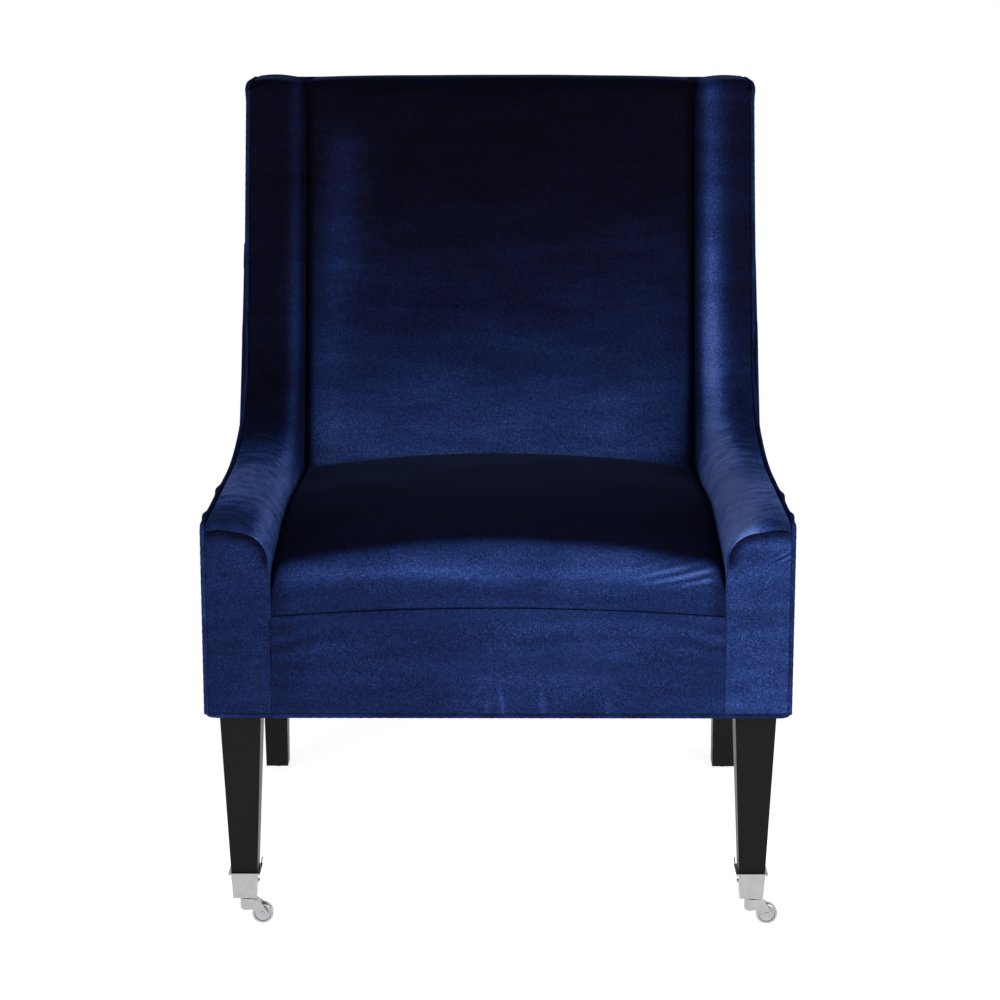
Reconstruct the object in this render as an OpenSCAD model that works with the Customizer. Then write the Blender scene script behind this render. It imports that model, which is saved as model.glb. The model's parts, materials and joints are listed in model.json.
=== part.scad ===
// Slope-arm upholstered chair on two cup castors, in millimetres.
// Origin on the floor under the middle of the chair, +Z up, the front faces -Y.

/* [Overall] */
// Width over the two sides
overall_w = 670; // [558:1:804]
// Depth from the front face to the rear of the top edge
overall_d = 750; // [625:1:900]
// Height of the top of the back
overall_h = 945; // [787:1:1134]
// Height of the underside of the upholstery
base_z = 263; // [219:1:316]

/* [Sides] */
// Thickness of each padded side
side_t = 77; // [64:0.5:93]
// Height of the arm above the underside at the front
arm_rise = 228; // [190:1:274]
// Radius of the long, slow rise along the arm
rise_r = 600; // [500:10:720]
// Angle of the arm where the slow rise ends
rise_a = 15.6; // [13:0.1:18.8]
// Radius of the sweep from arm to wing
sweep_r = 135; // [112:1:162]
// Lean of the front edge of the wing from upright
wing_lean = 16.5; // [13.5:0.5:19.5]
// Depth of the wing at its top
wing_top_d = 115; // [108:1:138]
// Rounding of the padded edges
edge_r = 10; // [6:1:12]

/* [Back] */
// How far the back leans behind the base
back_rake = 110; // [92:1:132]
// Height at which the outside back starts to lean
knee_z = 400; // [380:1:440]
// Thickness of the back at its top, beside the wings
back_top_t = 105; // [96:1:126]
// Lean of the padded face of the back
inner_lean = 13.4; // [11.2:0.1:16]
// How far the padded face swells between the wings
back_swell = 18; // [12:1:22]

/* [Seat] */
// Foam under the highest point of the seat
seat_foam_t = 114; // [95:1:137]
// Fall of the seat from its middle to its sides
seat_fall = 39; // [30:1:46]
// Fall of the seat from its middle to front and back
seat_dip = 13; // [8:1:16]
// Rounding of the front edge of the seat
seat_nose_r = 26; // [20:1:30]
// Height of the front seam above the seat platform
seam_rise = 22; // [18:1:26]

/* [Covers and padding] */
// Thickness of the velvet with its backing
skin = 2; // [1.6:0.1:2.4]
// Padding between wood and velvet on edges and fronts
pad_t = 12; // [10:1:14.5]
// Thickness of the foam on the inside of each arm
arm_foam_t = 25; // [20:1:30]
// Diameter of the piping
welt_d = 6; // [5:0.1:7.2]
// Clearance between neighbouring soft pieces
soft_gap = 0.3; // [0.2:0.05:0.6]

/* [Frame] */
// Thickness of the plywood side panels
panel_t = 18; // [15:0.5:21.5]
// Height of the seat rails
rail_h = 95; // [79:1:114]
// Thickness of the front and back seat rails
rail_t = 28; // [23:1:33.5]
// Depth of the posts from front to back
post_d = 45; // [38:1:54]
// Thickness of the rails in the back
back_rail_t = 20; // [17:1:24]
// Height of the rails in the back
back_rail_h = 60; // [50:1:72]
// Leg length of the corner blocks
block_l = 60; // [50:1:72]
// Height of the tack rail at the foot of each arm
tack_h = 32; // [27:1:38]
// Thickness of the tack rails
tack_t = 18; // [15:1:22]

/* [Suspension] */
// Thickness of the seat springs
wire_d = 3.8; // [3.2:0.1:4.5]
// Number of seat springs
spring_n = 5; // [4:1:5]
// Width of each spring over its bends
spring_w = 60; // [50:1:72]
// Distance between the bars of a spring
spring_pitch = 30; // [25:1:36]
// Width of the back webbing
web_w = 50; // [42:1:60]
// Thickness of the back webbing
web_t = 1.5; // [1.2:0.1:1.8]
// Thickness of the platform and dust cloths
cloth_t = 2; // [1.6:0.1:2.4]

/* [Legs] */
// Width of a front leg at its top
leg_top_w = 48; // [40:1:57]
// Width of a front leg just above its cup
leg_foot_w = 30.5; // [29:0.5:33]
// Distance of the front legs from the outside of the chair to their axis
leg_inset_x = 39; // [37:1:44]
// Distance of the front legs from the front face to their axis
leg_inset_y = 45; // [43:1:50]
// Width of a rear leg at its top
rear_leg_w = 35; // [32:1:38]
// Depth of a rear leg at its top
rear_leg_d = 40; // [36:1:44]
// Width of a rear leg at its foot
rear_foot_w = 30; // [26:1:33]
// How far a rear leg rakes back
rear_leg_rake = 22; // [18:1:26]
// Diameter of the leg bolts
bolt_d = 8; // [7:0.5:9.5]
// Length of the leg bolts
bolt_l = 90; // [75:1:108]
// Height of the rear glides
glide_h = 4.5; // [3.8:0.1:5.4]
// Width across a rear glide
glide_d = 9; // [7.5:0.5:11]

/* [Castors] */
// Wheel diameter
wheel_d = 25; // [21:0.5:27]
// Wheel width
wheel_w = 10; // [8.5:0.1:12]
// Distance of the wheel axle behind the swivel axis
trail = 19.4; // [18.5:0.1:22]
// Axle diameter
axle_d = 3.5; // [3:0.1:4.2]
// Swivel pin diameter
pintle_d = 6; // [5:0.1:7.2]
// Diameter of the boss that turns on the swivel pin
boss_d = 14; // [13:0.1:16]
// Thickness of each cheek of the fork
cheek_t = 2; // [1.7:0.1:2.4]
// Height of the cup floor above the ground
cup_z = 34.5; // [33:0.5:38]
// Height of the cup
cup_h = 32; // [27:0.5:38]
// Outer width of the cup at its bottom
cup_w = 27.5; // [26:0.1:30]
// How much wider the cup is at its top
cup_flare = 4; // [3:0.1:4.8]
// Wall of the cup
cup_wall = 1.5; // [1.2:0.1:1.8]
// Width of the lip round the cup
lip_w = 37; // [36:0.5:44]

/* [Hidden] */
$fn = 48;
tiny = 0.01;
post_gap = 1;           // between the front posts and the arm foam above them
tack_lift = 8;          // between the platform cloth and the tack rails
cross_lift = 40;        // between the platform cloth and the cross rail of the back
arc_n = 8;              // steps in a rounded corner
far = 60;               // how far a cutting shape reaches past what it cuts

hw = overall_w / 2;
front_y = -overall_d / 2;
rear_y = overall_d / 2;
arm_z = base_z + arm_rise;
inner_x = hw - side_t;                  // inner face of each side
wrap_x = hw - welt_d;                   // where the covers meet the piping
wood_front = front_y + skin + pad_t;    // front of the wooden frame
frame_z = base_z + welt_d;              // underside of the wooden frame
rail_top = frame_z + rail_h;
cloth_lift = 1.2;
platform_z = rail_top + wire_d + cloth_lift + cloth_t;
seam_z = platform_z + seam_rise;
seat_top_z = platform_z + seat_foam_t;
edge_in = skin + pad_t;                 // wood edges lie this far inside the covers
panel_x = hw - skin - panel_t;          // inner face of a side panel
post_x = inner_x + skin + arm_foam_t;   // inner face of the posts and side rails
facing_z = arm_z - edge_r;              // top of the arm facings

// Outside back: upright to the knee, then leaning
knee_y = rear_y - back_rake;
back_lean = atan(back_rake / (overall_h - knee_z));
function knee_at(i) = knee_z + i * tan(back_lean / 2);
function rear_at(z, i) = knee_y - i + max(0, z - knee_at(i)) * tan(back_lean);
back_frame_t = skin + back_rail_t + 2 * web_t + 3;   // outside back to rear of the foam

// Padded face of the back beside the wings
function inner_at(z) = rear_y - back_top_t - (overall_h - z) * tan(inner_lean);

// Front edge of the wing and the arcs that carry the arm up to it
wing_a = 90 - wing_lean;
wing_top_y = rear_y - wing_top_d;
arcs_y = rise_r * sin(rise_a) + sweep_r * (sin(wing_a) - sin(rise_a));
arcs_z = rise_r * (1 - cos(rise_a)) + sweep_r * (cos(rise_a) - cos(wing_a));
rise_y = wing_top_y - (overall_h - arm_z - arcs_z) / tan(wing_a) - arcs_y;
sweep_c = [rise_y + (rise_r - sweep_r) * sin(rise_a),
           arm_z + rise_r - (rise_r - sweep_r) * cos(rise_a)];

function arc(c, r, a0, a1, n) = [for (k = [0:n]) let (a = a0 + (a1 - a0) * k / n) c + r * [cos(a), sin(a)]];

// The line over the arm and up the wing, moved d inwards
function arm_line(d) =
    let (r = max(edge_r - d, 1), top = overall_h - d,
         wing_y = wing_top_y - (d + r) / tan(wing_a) + (d + r) / sin(wing_a))
    concat(arc([front_y + d + r, arm_z - d - r], r, 180, 90, arc_n),
           arc([rise_y, arm_z + rise_r], rise_r + d, 270, 270 + rise_a, 6),
           arc(sweep_c, sweep_r + d, 270 + rise_a, 270 + wing_a, 14),
           arc([wing_y, top - r], r, 90 + wing_a, 90, arc_n));

// Outline of a side: d inside the arm line, rear inside the outside back, down to low
function side_outline(d, rear, low) =
    concat([[front_y + d, low]], arm_line(d),
           [[rear_at(overall_h - d, rear), overall_h - d], [rear_at(knee_at(rear), rear), knee_at(rear)],
            [rear_at(low, rear), low]]);

// A strip along the outside back from depth i0 to depth i1
function strip(i0, i1, z0, z1) =
    concat([[rear_at(z0, i0), z0]], z0 < knee_at(i0) && z1 > knee_at(i0) ? [[knee_y - i0, knee_at(i0)]] : [],
           [[rear_at(z1, i0), z1], [rear_at(z1, i1), z1]],
           z0 < knee_at(i1) && z1 > knee_at(i1) ? [[knee_y - i1, knee_at(i1)]] : [], [[rear_at(z0, i1), z0]]);

// Legs
leg_x = hw - leg_inset_x;
leg_y = front_y + leg_inset_y;
rear_leg_lap = 3;                       // how far a rear leg reaches under the panel past its middle
rear_leg_shift = 2;                     // how far a rear leg stands in front of the middle of its post
rear_leg_x = hw - skin - panel_t / 2 - rear_leg_w / 2 + rear_leg_lap;
rear_leg_y = knee_y - skin - post_d / 2 - rear_leg_shift;
nail_r = 1;
nail_l = 12;
bolt_wood = 3;                          // least wood round a leg bolt
bolt_x = max((post_x + panel_x) / 2, rear_leg_x - rear_leg_w / 2 + bolt_d / 2 + bolt_wood);
front_bolt_y = wood_front + post_d / 2;
rear_bolt_y = knee_y - skin - post_d / 2;

// Castors
wheel_z = wheel_d / 2;
run_gap = 0.05;                         // radial clearance of a running fit
wheel_gap = 0.4;                        // beside and over the wheel
boss_z = cup_z - 3.5;                   // top of the turning boss
boss_low = wheel_z + 5.5;               // underside of the turning boss
fork_w = wheel_w + 2 * (wheel_gap + cheek_t);
cup_top = cup_z + cup_h;
cup_floor = 2.5;
rivet_h = 1.5;
tenon_low = cup_z + cup_floor + rivet_h + 0.2;
lip_t = 2;
screw_z = cup_z + cup_h * 0.55;
screw_d = 3;
screw_l = 9;
function cup_half(z) = (cup_w + cup_flare * (z - cup_z) / cup_h) / 2;

// Colours
velvet = [0.02, 0.04, 0.22];
beech = [0.78, 0.62, 0.42];
ply = [0.82, 0.68, 0.48];
foam_colour = [0.93, 0.88, 0.66];
black_lacquer = [0.03, 0.03, 0.03];
nickel = [0.8, 0.8, 0.82];
steel = [0.5, 0.5, 0.52];
black_cloth = [0.06, 0.06, 0.07];

// ---- helpers ----

// Extrude a side outline, drawn as depth and height, from x0 to x1
module across(x0, x1) {
    translate([x0, 0, 0]) rotate([90, 0, 90]) linear_extrude(x1 - x0) children();
}

// Extrude a front outline, drawn as width and height, from y0 to y1
module along(y0, y1) {
    translate([0, y1, 0]) rotate([90, 0, 0]) linear_extrude(y1 - y0) children();
}

// A box between two corners
module block(low, high) {
    translate(low) cube(high - low);
}

// Draw for the right side as it is, or for the left side as its mirror image
module on_side(s) {
    if (s < 0) mirror([1, 0, 0]) children();
    else children();
}

// A square post that tapers evenly from w0 at z0 to w1 at z1, with its axis moving by shift
module tapered_post(w0, w1, z0, z1, shift = [0, 0], d0 = 0, d1 = 0) {
    y0 = d0 > 0 ? d0 : w0;
    y1 = d1 > 0 ? d1 : w1;
    reach = max(w0, w1, y0, y1) + abs(shift[0]) + abs(shift[1]);
    intersection() {
        along(-reach, reach)
            polygon([[-w0 / 2, z0], [w0 / 2, z0], [shift[0] + w1 / 2, z1], [shift[0] - w1 / 2, z1]]);
        across(-reach, reach)
            polygon([[-y0 / 2, z0], [y0 / 2, z0], [shift[1] + y1 / 2, z1], [shift[1] - y1 / 2, z1]]);
    }
}

// A round cord of diameter d along a path drawn as depth and height, at x
module side_cord(path, x, d, sides = 8) {
    n = len(path);
    function heading(i) = let (v = path[min(i + 1, n - 1)] - path[max(i - 1, 0)]) v / norm(v);
    rings = [for (i = [0:n - 1]) let (t = heading(i))
        for (k = [0:sides - 1]) let (a = 360 * (k + 0.5) / sides, v = d / 2 * sin(a))
            [x + d / 2 * cos(a), path[i][0] - t[1] * v, path[i][1] + t[0] * v]];
    walls = [for (i = [0:n - 2]) for (k = [0:sides - 1]) let (j = (k + 1) % sides)
        [i * sides + k, i * sides + j, (i + 1) * sides + j, (i + 1) * sides + k]];
    first = [for (k = [sides - 1:-1:0]) k];
    last = [for (k = [0:sides - 1]) (n - 1) * sides + k];
    polyhedron(rings, concat([first], walls, [last]), convexity = 6);
}

// ---- wooden frame ----

module front_rail() {
    color(beech) block([-post_x, wood_front, frame_z], [post_x, wood_front + rail_t, rail_top]);
}

module back_rail() {
    color(beech)
        block([-post_x, knee_y - skin - rail_t, frame_z], [post_x, knee_y - skin, rail_top]);
}

module side_rail(s) {
    color(beech) on_side(s)
        block([post_x, wood_front + post_d, frame_z], [panel_x, knee_y - skin - post_d, rail_top]);
}

// Glued blocks that stiffen the corners of the seat frame
module corner_blocks() {
    color(beech) for (s = [-1, 1]) on_side(s) translate([0, 0, frame_z]) linear_extrude(rail_h) {
        corner = wood_front + rail_t;
        polygon([[post_x, corner], [post_x, corner + block_l], [post_x - block_l, corner]]);
        rear = knee_y - skin - rail_t;
        polygon([[post_x, rear], [post_x - block_l, rear], [post_x, rear - block_l]]);
    }
}

// Plywood side that carries the whole swept outline
module side_panel(s) {
    color(ply) on_side(s)
        across(panel_x, hw - skin) polygon(side_outline(edge_in, skin, frame_z));
}

module bolt_hole(x, y) {
    translate([x, y, frame_z - bolt_l / 2]) cylinder(d = bolt_d, h = bolt_l);
}

module front_post(s) {
    color(beech) on_side(s) difference() {
        block([post_x, wood_front, frame_z], [panel_x, wood_front + post_d, arm_z - edge_in - post_gap]);
        bolt_hole(bolt_x, front_bolt_y);
    }
}

module back_post(s) {
    color(beech) on_side(s) difference() {
        across(post_x, panel_x) polygon(strip(skin, skin + post_d, frame_z, overall_h - edge_in));
        bolt_hole(bolt_x, rear_bolt_y);
    }
}

module back_top_rail() {
    top = overall_h - edge_in;
    color(beech) across(-post_x, post_x)
        polygon(strip(skin, skin + back_rail_t, top - back_rail_h, top));
}

module back_cross_rail() {
    low = platform_z + cross_lift;
    color(beech) across(-post_x, post_x)
        polygon(strip(skin, skin + back_rail_t, low, low + back_rail_h));
}

// Rail to which the inside arm cover is pulled down and tacked
module tack_rail(s) {
    color(beech) on_side(s)
        block([post_x, wood_front + post_d, platform_z + tack_lift],
              [post_x + tack_t, knee_y - skin - post_d, platform_z + tack_lift + tack_h]);
}

// ---- springs, webbing and cloths ----

spring_y0 = wood_front + rail_t / 2;
spring_y1 = knee_y - skin - rail_t / 2;
bar_n = floor((spring_y1 - spring_y0) / spring_pitch);
spring_step = (spring_y1 - spring_y0) / bar_n;
spring_spacing = 2 * (post_x - block_l / 2) / spring_n;

// Outline of one zigzag spring, h to the left of its middle line
bar_l = spring_w - spring_step - wire_d;
function bar_dir(k) = k % 2 == 0 ? 1 : -1;
function spring_edge(h) =
    concat([[-bar_l / 2, h]],
           [for (k = [0:bar_n - 1], j = [0:6])
               let (d = bar_dir(k), a = -90 + 30 * j, r = spring_step / 2 - d * h)
               [d * (bar_l / 2 + r * cos(a)), (k + 0.5) * spring_step + r * sin(a)]],
           [[bar_dir(bar_n) * bar_l / 2, bar_n * spring_step + bar_dir(bar_n) * h]]);

// One zigzag spring, laid flat from front to back
module zigzag() {
    left = spring_edge(wire_d / 2);
    right = spring_edge(-wire_d / 2);
    translate([0, spring_y0, -wire_d / 2]) linear_extrude(wire_d)
        polygon(concat(left, [for (k = [len(right) - 1:-1:0]) right[k]]));
}

module at_springs() {
    for (k = [0:spring_n - 1])
        translate([(k - (spring_n - 1) / 2) * spring_spacing, 0, rail_top + wire_d / 2]) children();
}

module seat_springs() {
    color(steel) at_springs() zigzag();
}

// Folded clips that hold the first and last bar of every spring
module spring_clips() {
    clip_l = bar_l * 0.6;
    clip_w = 12;
    clip_t = 1;
    color(steel) at_springs() for (y = [spring_y0, spring_y1]) translate([0, y, 0]) difference() {
        block([-clip_l / 2, -clip_w / 2, -wire_d / 2], [clip_l / 2, clip_w / 2, wire_d / 2 + clip_t]);
        block([-clip_l, -wire_d / 2, -wire_d], [clip_l, wire_d / 2, wire_d / 2]);
    }
}

module platform_cloth() {
    color([0.7, 0.6, 0.42])
        block([-post_x + 1, wood_front, platform_z - cloth_t],
              [post_x - 1, knee_y - skin - back_rail_t, platform_z]);
}

// Upright bands behind cross bands, stretched on the frame of the back
module back_webbing() {
    z0 = platform_z + cross_lift + back_rail_h;
    z1 = overall_h - edge_in - back_rail_h;
    lap = back_rail_h / 2;
    i0 = skin + back_rail_t;
    color([0.12, 0.12, 0.13]) {
        for (k = [-1.5:1:1.5]) across(k * 2 * web_w - web_w / 2, k * 2 * web_w + web_w / 2)
            polygon(strip(i0, i0 + web_t, z0 - lap, z1 + lap));
        for (k = [0:2]) {
            z = z0 + 40 + k * (z1 - z0 - 80 - web_w) / 2;
            across(-post_x, post_x) polygon(strip(i0 + web_t, i0 + 2 * web_t, z, z + web_w));
        }
    }
}

// ---- padding ----

// Outline of the back as seen from above: its face swells between the wings
module swell_plan(i) {
    half = inner_x - i;
    n = 12;
    face = [for (k = [-n:n]) let (x = half * k / n) [x, i - back_swell * (1 - pow(k / n, 2))]];
    polygon(concat(face, [[half, 4 * far], [-half, 4 * far]]));
}

// Leaning column under the padded face of the back, i inside the cover
module back_column(i) {
    translate([0, inner_at(platform_z), platform_z]) rotate([-inner_lean, 0, 0])
        translate([0, 0, -2 * far]) linear_extrude(overall_h - base_z + 4 * far) swell_plan(i);
}

// Everything from the padded face of the back to depth rear, i inside the cover
module back_form(i, rear, low) {
    intersection() {
        back_column(i);
        across(-inner_x, inner_x)
            polygon(concat([[front_y, low], [front_y, overall_h - i]],
                           [[rear_at(overall_h - i, rear), overall_h - i],
                            [rear_at(knee_at(rear), rear), knee_at(rear)], [rear_at(low, rear), low]]));
    }
}

// Seat outline from the side: nose at the front, then a shallow crown
seat_mid_y = (front_y + inner_at(seat_top_z)) / 2;
seat_half_d = (inner_at(seat_top_z) - front_y) / 2;
function seat_line(y, i) = seat_top_z - i - seat_dip * pow((y - seat_mid_y) / seat_half_d, 2);

module seat_side(i, low) {
    nose_y = front_y + i + seat_nose_r;
    n = 10;
    end_y = inner_at(seat_top_z) + far;
    polygon(concat([[front_y + i, low]],
                   arc([nose_y, seat_line(nose_y, i) - seat_nose_r], seat_nose_r, 180, 96, arc_n),
                   [for (k = [1:n]) let (y = nose_y + (end_y - nose_y) * k / n) [y, seat_line(y, i)]],
                   [[end_y, low]]));
}

module seat_front(i, low) {
    half = inner_x - soft_gap - i;
    n = 12;
    polygon(concat([[half, low], [-half, low]],
                   [for (k = [-n:n]) [half * k / n, seat_top_z - i - seat_fall * pow(k / n, 2)]]));
}

// The crowned seat, i inside its cover, standing clear of the padded back
module seat_form(i, low) {
    difference() {
        intersection() {
            across(-inner_x, inner_x) seat_side(i, low);
            along(front_y - far, inner_at(seat_top_z) + 2 * far) seat_front(i, low);
        }
        seat_end();
    }
}

// Space kept for the padded back behind the seat
module seat_end() {
    half = inner_x + far;
    translate([0, inner_at(platform_z), platform_z]) rotate([-inner_lean, 0, 0])
        translate([-half, -back_swell - soft_gap, -2 * far]) cube([2 * half, 8 * far, overall_h]);
}

// Padding over the front of the front rail
module front_pad() {
    color([0.9, 0.9, 0.88])
        block([-inner_x + soft_gap, front_y + skin, frame_z], [inner_x - soft_gap, wood_front, platform_z]);
}

module seat_foam() {
    color(foam_colour) seat_form(skin, platform_z);
}

// Foam over the back frame and over its top rail
module back_foam() {
    color(foam_colour) difference() {
        back_form(skin, skin, platform_z);
        across(-hw, hw) polygon(strip(0, back_frame_t, platform_z - far, overall_h - edge_in));
    }
}

// Layer inside a side from depth outer to depth inner, t thick on the inner face
module side_layer(outer, inner, t) {
    face_x = inner_x + outer;
    difference() {
        across(face_x, wrap_x) polygon(side_outline(outer, skin, frame_z));
        across(face_x + t, hw) polygon(side_outline(inner, -far, frame_z - far));
        block([face_x - 1, front_y + inner, frame_z - 1], [face_x + t + tiny, rear_y, platform_z + soft_gap]);
        across(face_x - 1, post_x)
            polygon(strip(0, back_frame_t, platform_z - far, overall_h - inner));
    }
}

module arm_foam(s) {
    color(foam_colour) on_side(s) side_layer(skin, edge_in, arm_foam_t);
}

// ---- covers ----

module seat_cover() {
    color(velvet) difference() {
        seat_form(0, seam_z);
        seat_form(skin, platform_z - far);
    }
}

module front_border() {
    x = inner_x - soft_gap;
    color(velvet) block([-x, front_y, frame_z], [x, front_y + skin, seam_z - soft_gap]);
}

module inside_back_cover() {
    color(velvet) difference() {
        back_form(0, skin, platform_z);
        back_form(skin, -far, platform_z - far);
        across(-hw, hw) polygon(strip(-far, back_frame_t, platform_z - far, overall_h - edge_in));
    }
}

module inside_arm_cover(s) {
    color(velvet) on_side(s) difference() {
        side_layer(0, skin, skin);
        block([0, front_y - 1, frame_z - 1], [hw, front_y + skin + tiny, facing_z]);
    }
}

module arm_facing(s) {
    color(velvet) on_side(s)
        block([inner_x, front_y, frame_z], [wrap_x, front_y + skin, facing_z - soft_gap]);
}

module outside_cover(s) {
    color(velvet) on_side(s)
        across(hw - skin, hw) polygon(side_outline(welt_d, 0, frame_z));
}

module outside_back_cover() {
    x = hw - skin;
    color(velvet) across(-x, x) polygon(strip(0, skin, frame_z, overall_h));
}

// Piping from the front corner over the arm and up the wing to the top of the back
module piping(s) {
    r = welt_d / 2;
    end_z = overall_h - r;
    path = concat([[front_y + r, frame_z]], arm_line(r), [[rear_at(end_z, skin + 1), end_z]]);
    color(velvet) on_side(s) side_cord(path, hw - r, welt_d);
}

// Piping round the bottom edge
module bottom_welt() {
    r = welt_d / 2;
    x = hw - r;
    ends = [[-x, front_y + r], [x, front_y + r], [x, knee_y - r], [-x, knee_y - r]];
    color(velvet) translate([0, 0, base_z + r]) for (k = [0:3]) {
        run = ends[(k + 1) % 4] - ends[k];
        translate(ends[k]) {
            sphere(r = r);
            rotate([0, 90, atan2(run[1], run[0])]) cylinder(r = r, h = norm(run));
        }
    }
}

// ---- underside ----

module dust_cover() {
    x = hw - welt_d - 4;
    low = frame_z - cloth_t;
    fit = 1;
    color(black_cloth) difference() {
        block([-x, front_y + welt_d + 4, low], [x, knee_y - welt_d - 4, frame_z]);
        for (s = [-1, 1]) on_side(s) {
            translate([leg_x, leg_y, 0]) leg_notch(leg_top_w + fit, leg_top_w + fit);
            translate([rear_leg_x, rear_leg_y, 0]) leg_notch(rear_leg_w + fit, rear_leg_d + fit);
        }
    }
}

module leg_notch(w, d) {
    translate([-w / 2, -d / 2, base_z]) cube([w, d, 2 * welt_d]);
}

module dust_cover_staples() {
    staple = [12, 1.2, 0.8];
    n = 5;
    z = frame_z - cloth_t - staple[2];
    y0 = wood_front + rail_t / 2;
    y1 = knee_y - skin - rail_t / 2;
    step_x = 1.5 * (post_x - block_l) / n;
    step_y = (y1 - y0 - 3 * block_l) / n;
    color(steel) {
        for (y = [y0, y1], k = [-(n - 1) / 2:(n - 1) / 2]) translate([k * step_x, y, z])
            translate([-staple[0] / 2, -staple[1] / 2, 0]) cube(staple);
        for (s = [-1, 1], k = [-(n - 1) / 2:(n - 1) / 2])
            translate([s * (post_x + panel_x) / 2, (y0 + y1) / 2 + k * step_y, z])
                translate([-staple[1] / 2, -staple[0] / 2, 0]) cube([staple[1], staple[0], staple[2]]);
    }
}

// ---- legs ----

// Tapered front leg, cut down at its foot to fit inside the castor cup
module front_leg(s) {
    inner_low = 2 * (cup_half(tenon_low) - cup_wall);
    inner_top = 2 * (cup_half(cup_top) - cup_wall);
    color(black_lacquer) on_side(s) difference() {
        translate([leg_x, leg_y, 0]) {
            tapered_post(leg_foot_w, leg_top_w, cup_top, frame_z);
            tapered_post(inner_low, inner_top, tenon_low, cup_top);
        }
        bolt_hole(bolt_x, front_bolt_y);
        translate([leg_x, leg_y, screw_z]) for (d = [-1, 1]) screw_shank(d);
    }
}

module rear_leg(s) {
    color(black_lacquer) on_side(s) difference() {
        translate([rear_leg_x, rear_leg_y + rear_leg_rake, 0])
            tapered_post(rear_foot_w, rear_leg_w, glide_h, frame_z, [0, -rear_leg_rake],
                         rear_foot_w, rear_leg_d);
        bolt_hole(bolt_x, rear_bolt_y);
        translate([rear_leg_x, rear_leg_y + rear_leg_rake, glide_h]) glide_nail();
    }
}

// Hanger bolts between the legs and the posts
module leg_bolts() {
    color(steel) for (s = [-1, 1], y = [front_bolt_y, rear_bolt_y]) on_side(s) bolt_hole(bolt_x, y);
}

module glide_nail() {
    cylinder(r = nail_r, h = nail_l);
}

// Nail-on glide under a rear leg
module rear_glide(s) {
    color([0.1, 0.1, 0.1]) on_side(s) translate([rear_leg_x, rear_leg_y + rear_leg_rake, 0]) {
        cylinder(d1 = glide_d * 0.6, d2 = glide_d, h = glide_h);
        translate([0, 0, glide_h]) glide_nail();
    }
}

// ---- castors: drawn at the origin, the wheel trails towards +X ----

module at_castor(s) {
    translate([s * leg_x, leg_y, 0]) children();
}

// Shank of a cup screw pointing inwards from the side face d
module screw_shank(d) {
    face = cup_half(screw_z) + 0.3;
    translate([d * (face - screw_l / 2), 0, 0]) rotate([0, 90, 0])
        cylinder(d = screw_d, h = screw_l, center = true);
}

// Square tapered cup with a flared lip and two ears at its rear corners
module castor_cup(s) {
    ear_h = 9;
    ear_t = 1.2;
    ear_y = [lip_w / 2 - 8, lip_w / 2 - 0.5];
    inner_low = 2 * (cup_half(tenon_low) - cup_wall);
    inner_top = 2 * (cup_half(cup_top) - cup_wall);
    color(nickel) at_castor(s) difference() {
        union() {
            tapered_post(cup_w, cup_w + cup_flare, cup_z, cup_top);
            translate([-lip_w / 2, -lip_w / 2, cup_top - lip_t]) cube([lip_w, lip_w, lip_t]);
            for (d = [-1, 1]) on_side(d) translate([lip_w / 2 - ear_t - 0.6, 0, cup_top - lip_t / 2])
                rotate([0, 4, 0]) across(0, ear_t)
                    polygon([[ear_y[0], 0], [ear_y[1], 0], [ear_y[1], ear_h]]);
            translate([0, 0, boss_z + 1]) cylinder(d = boss_d + 1, h = cup_z - boss_z - 1 + tiny);
        }
        tapered_post(inner_low, inner_top, tenon_low, cup_top);
        block([-inner_low / 2, -inner_low / 2, cup_z + cup_floor], [inner_low / 2, inner_low / 2, tenon_low]);
        cylinder(d = pintle_d, h = cup_top);
        translate([0, 0, screw_z]) for (d = [-1, 1]) screw_shank(d);
    }
}

module castor_screws() {
    head_r = 2.7;
    face = cup_half(screw_z) + 0.3;
    color(nickel) for (s = [-1, 1]) at_castor(s) translate([0, 0, screw_z]) for (d = [-1, 1]) {
        screw_shank(d);
        on_side(d) translate([face, 0, 0]) rotate([0, 90, 0])
            cylinder(r1 = head_r, r2 = head_r * 0.6, h = 1.4);
    }
}

// Swivel pin, riveted over above the cup floor and headed under the boss
module castor_pintle(s) {
    head_r = pintle_d * 0.75;
    rivet_z = cup_z + cup_floor;
    color(nickel) at_castor(s) {
        translate([0, 0, boss_low - 2]) cylinder(r = head_r, h = 1.8);
        translate([0, 0, boss_low - 0.3]) cylinder(d = pintle_d, h = rivet_z - boss_low + 0.4);
        translate([0, 0, rivet_z]) cylinder(r = head_r, h = rivet_h);
    }
}

// Fork: a boss round the swivel pin, a crown over the wheel and two cheeks down to the axle
module castor_fork(s) {
    eye_r = wheel_d * 0.26;
    color(nickel) at_castor(s) difference() {
        union() {
            translate([0, 0, boss_low]) cylinder(d = boss_d, h = boss_z - boss_low);
            along(-fork_w / 2, fork_w / 2) {
                polygon([[0, boss_low], [0, boss_z], [boss_d / 2, boss_z], [trail * 0.66, boss_z - 1.6],
                         [trail * 0.97, boss_z - 6], [trail + eye_r * 0.8, wheel_z + eye_r * 0.6],
                         [trail, wheel_z], [trail - eye_r * 0.8, wheel_z + 1],
                         [boss_d / 2, boss_low]]);
                translate([trail, wheel_z]) circle(r = eye_r);
            }
        }
        translate([trail, 0, wheel_z]) rotate([90, 0, 0])
            cylinder(r = wheel_d / 2 + 2 * wheel_gap, h = wheel_w + 2 * wheel_gap, center = true);
        translate([trail, 0, wheel_z]) rotate([90, 0, 0]) cylinder(d = axle_d, h = 2 * fork_w, center = true);
        translate([0, 0, boss_low - 1]) cylinder(r = pintle_d / 2 + run_gap, h = boss_z);
    }
}

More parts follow.
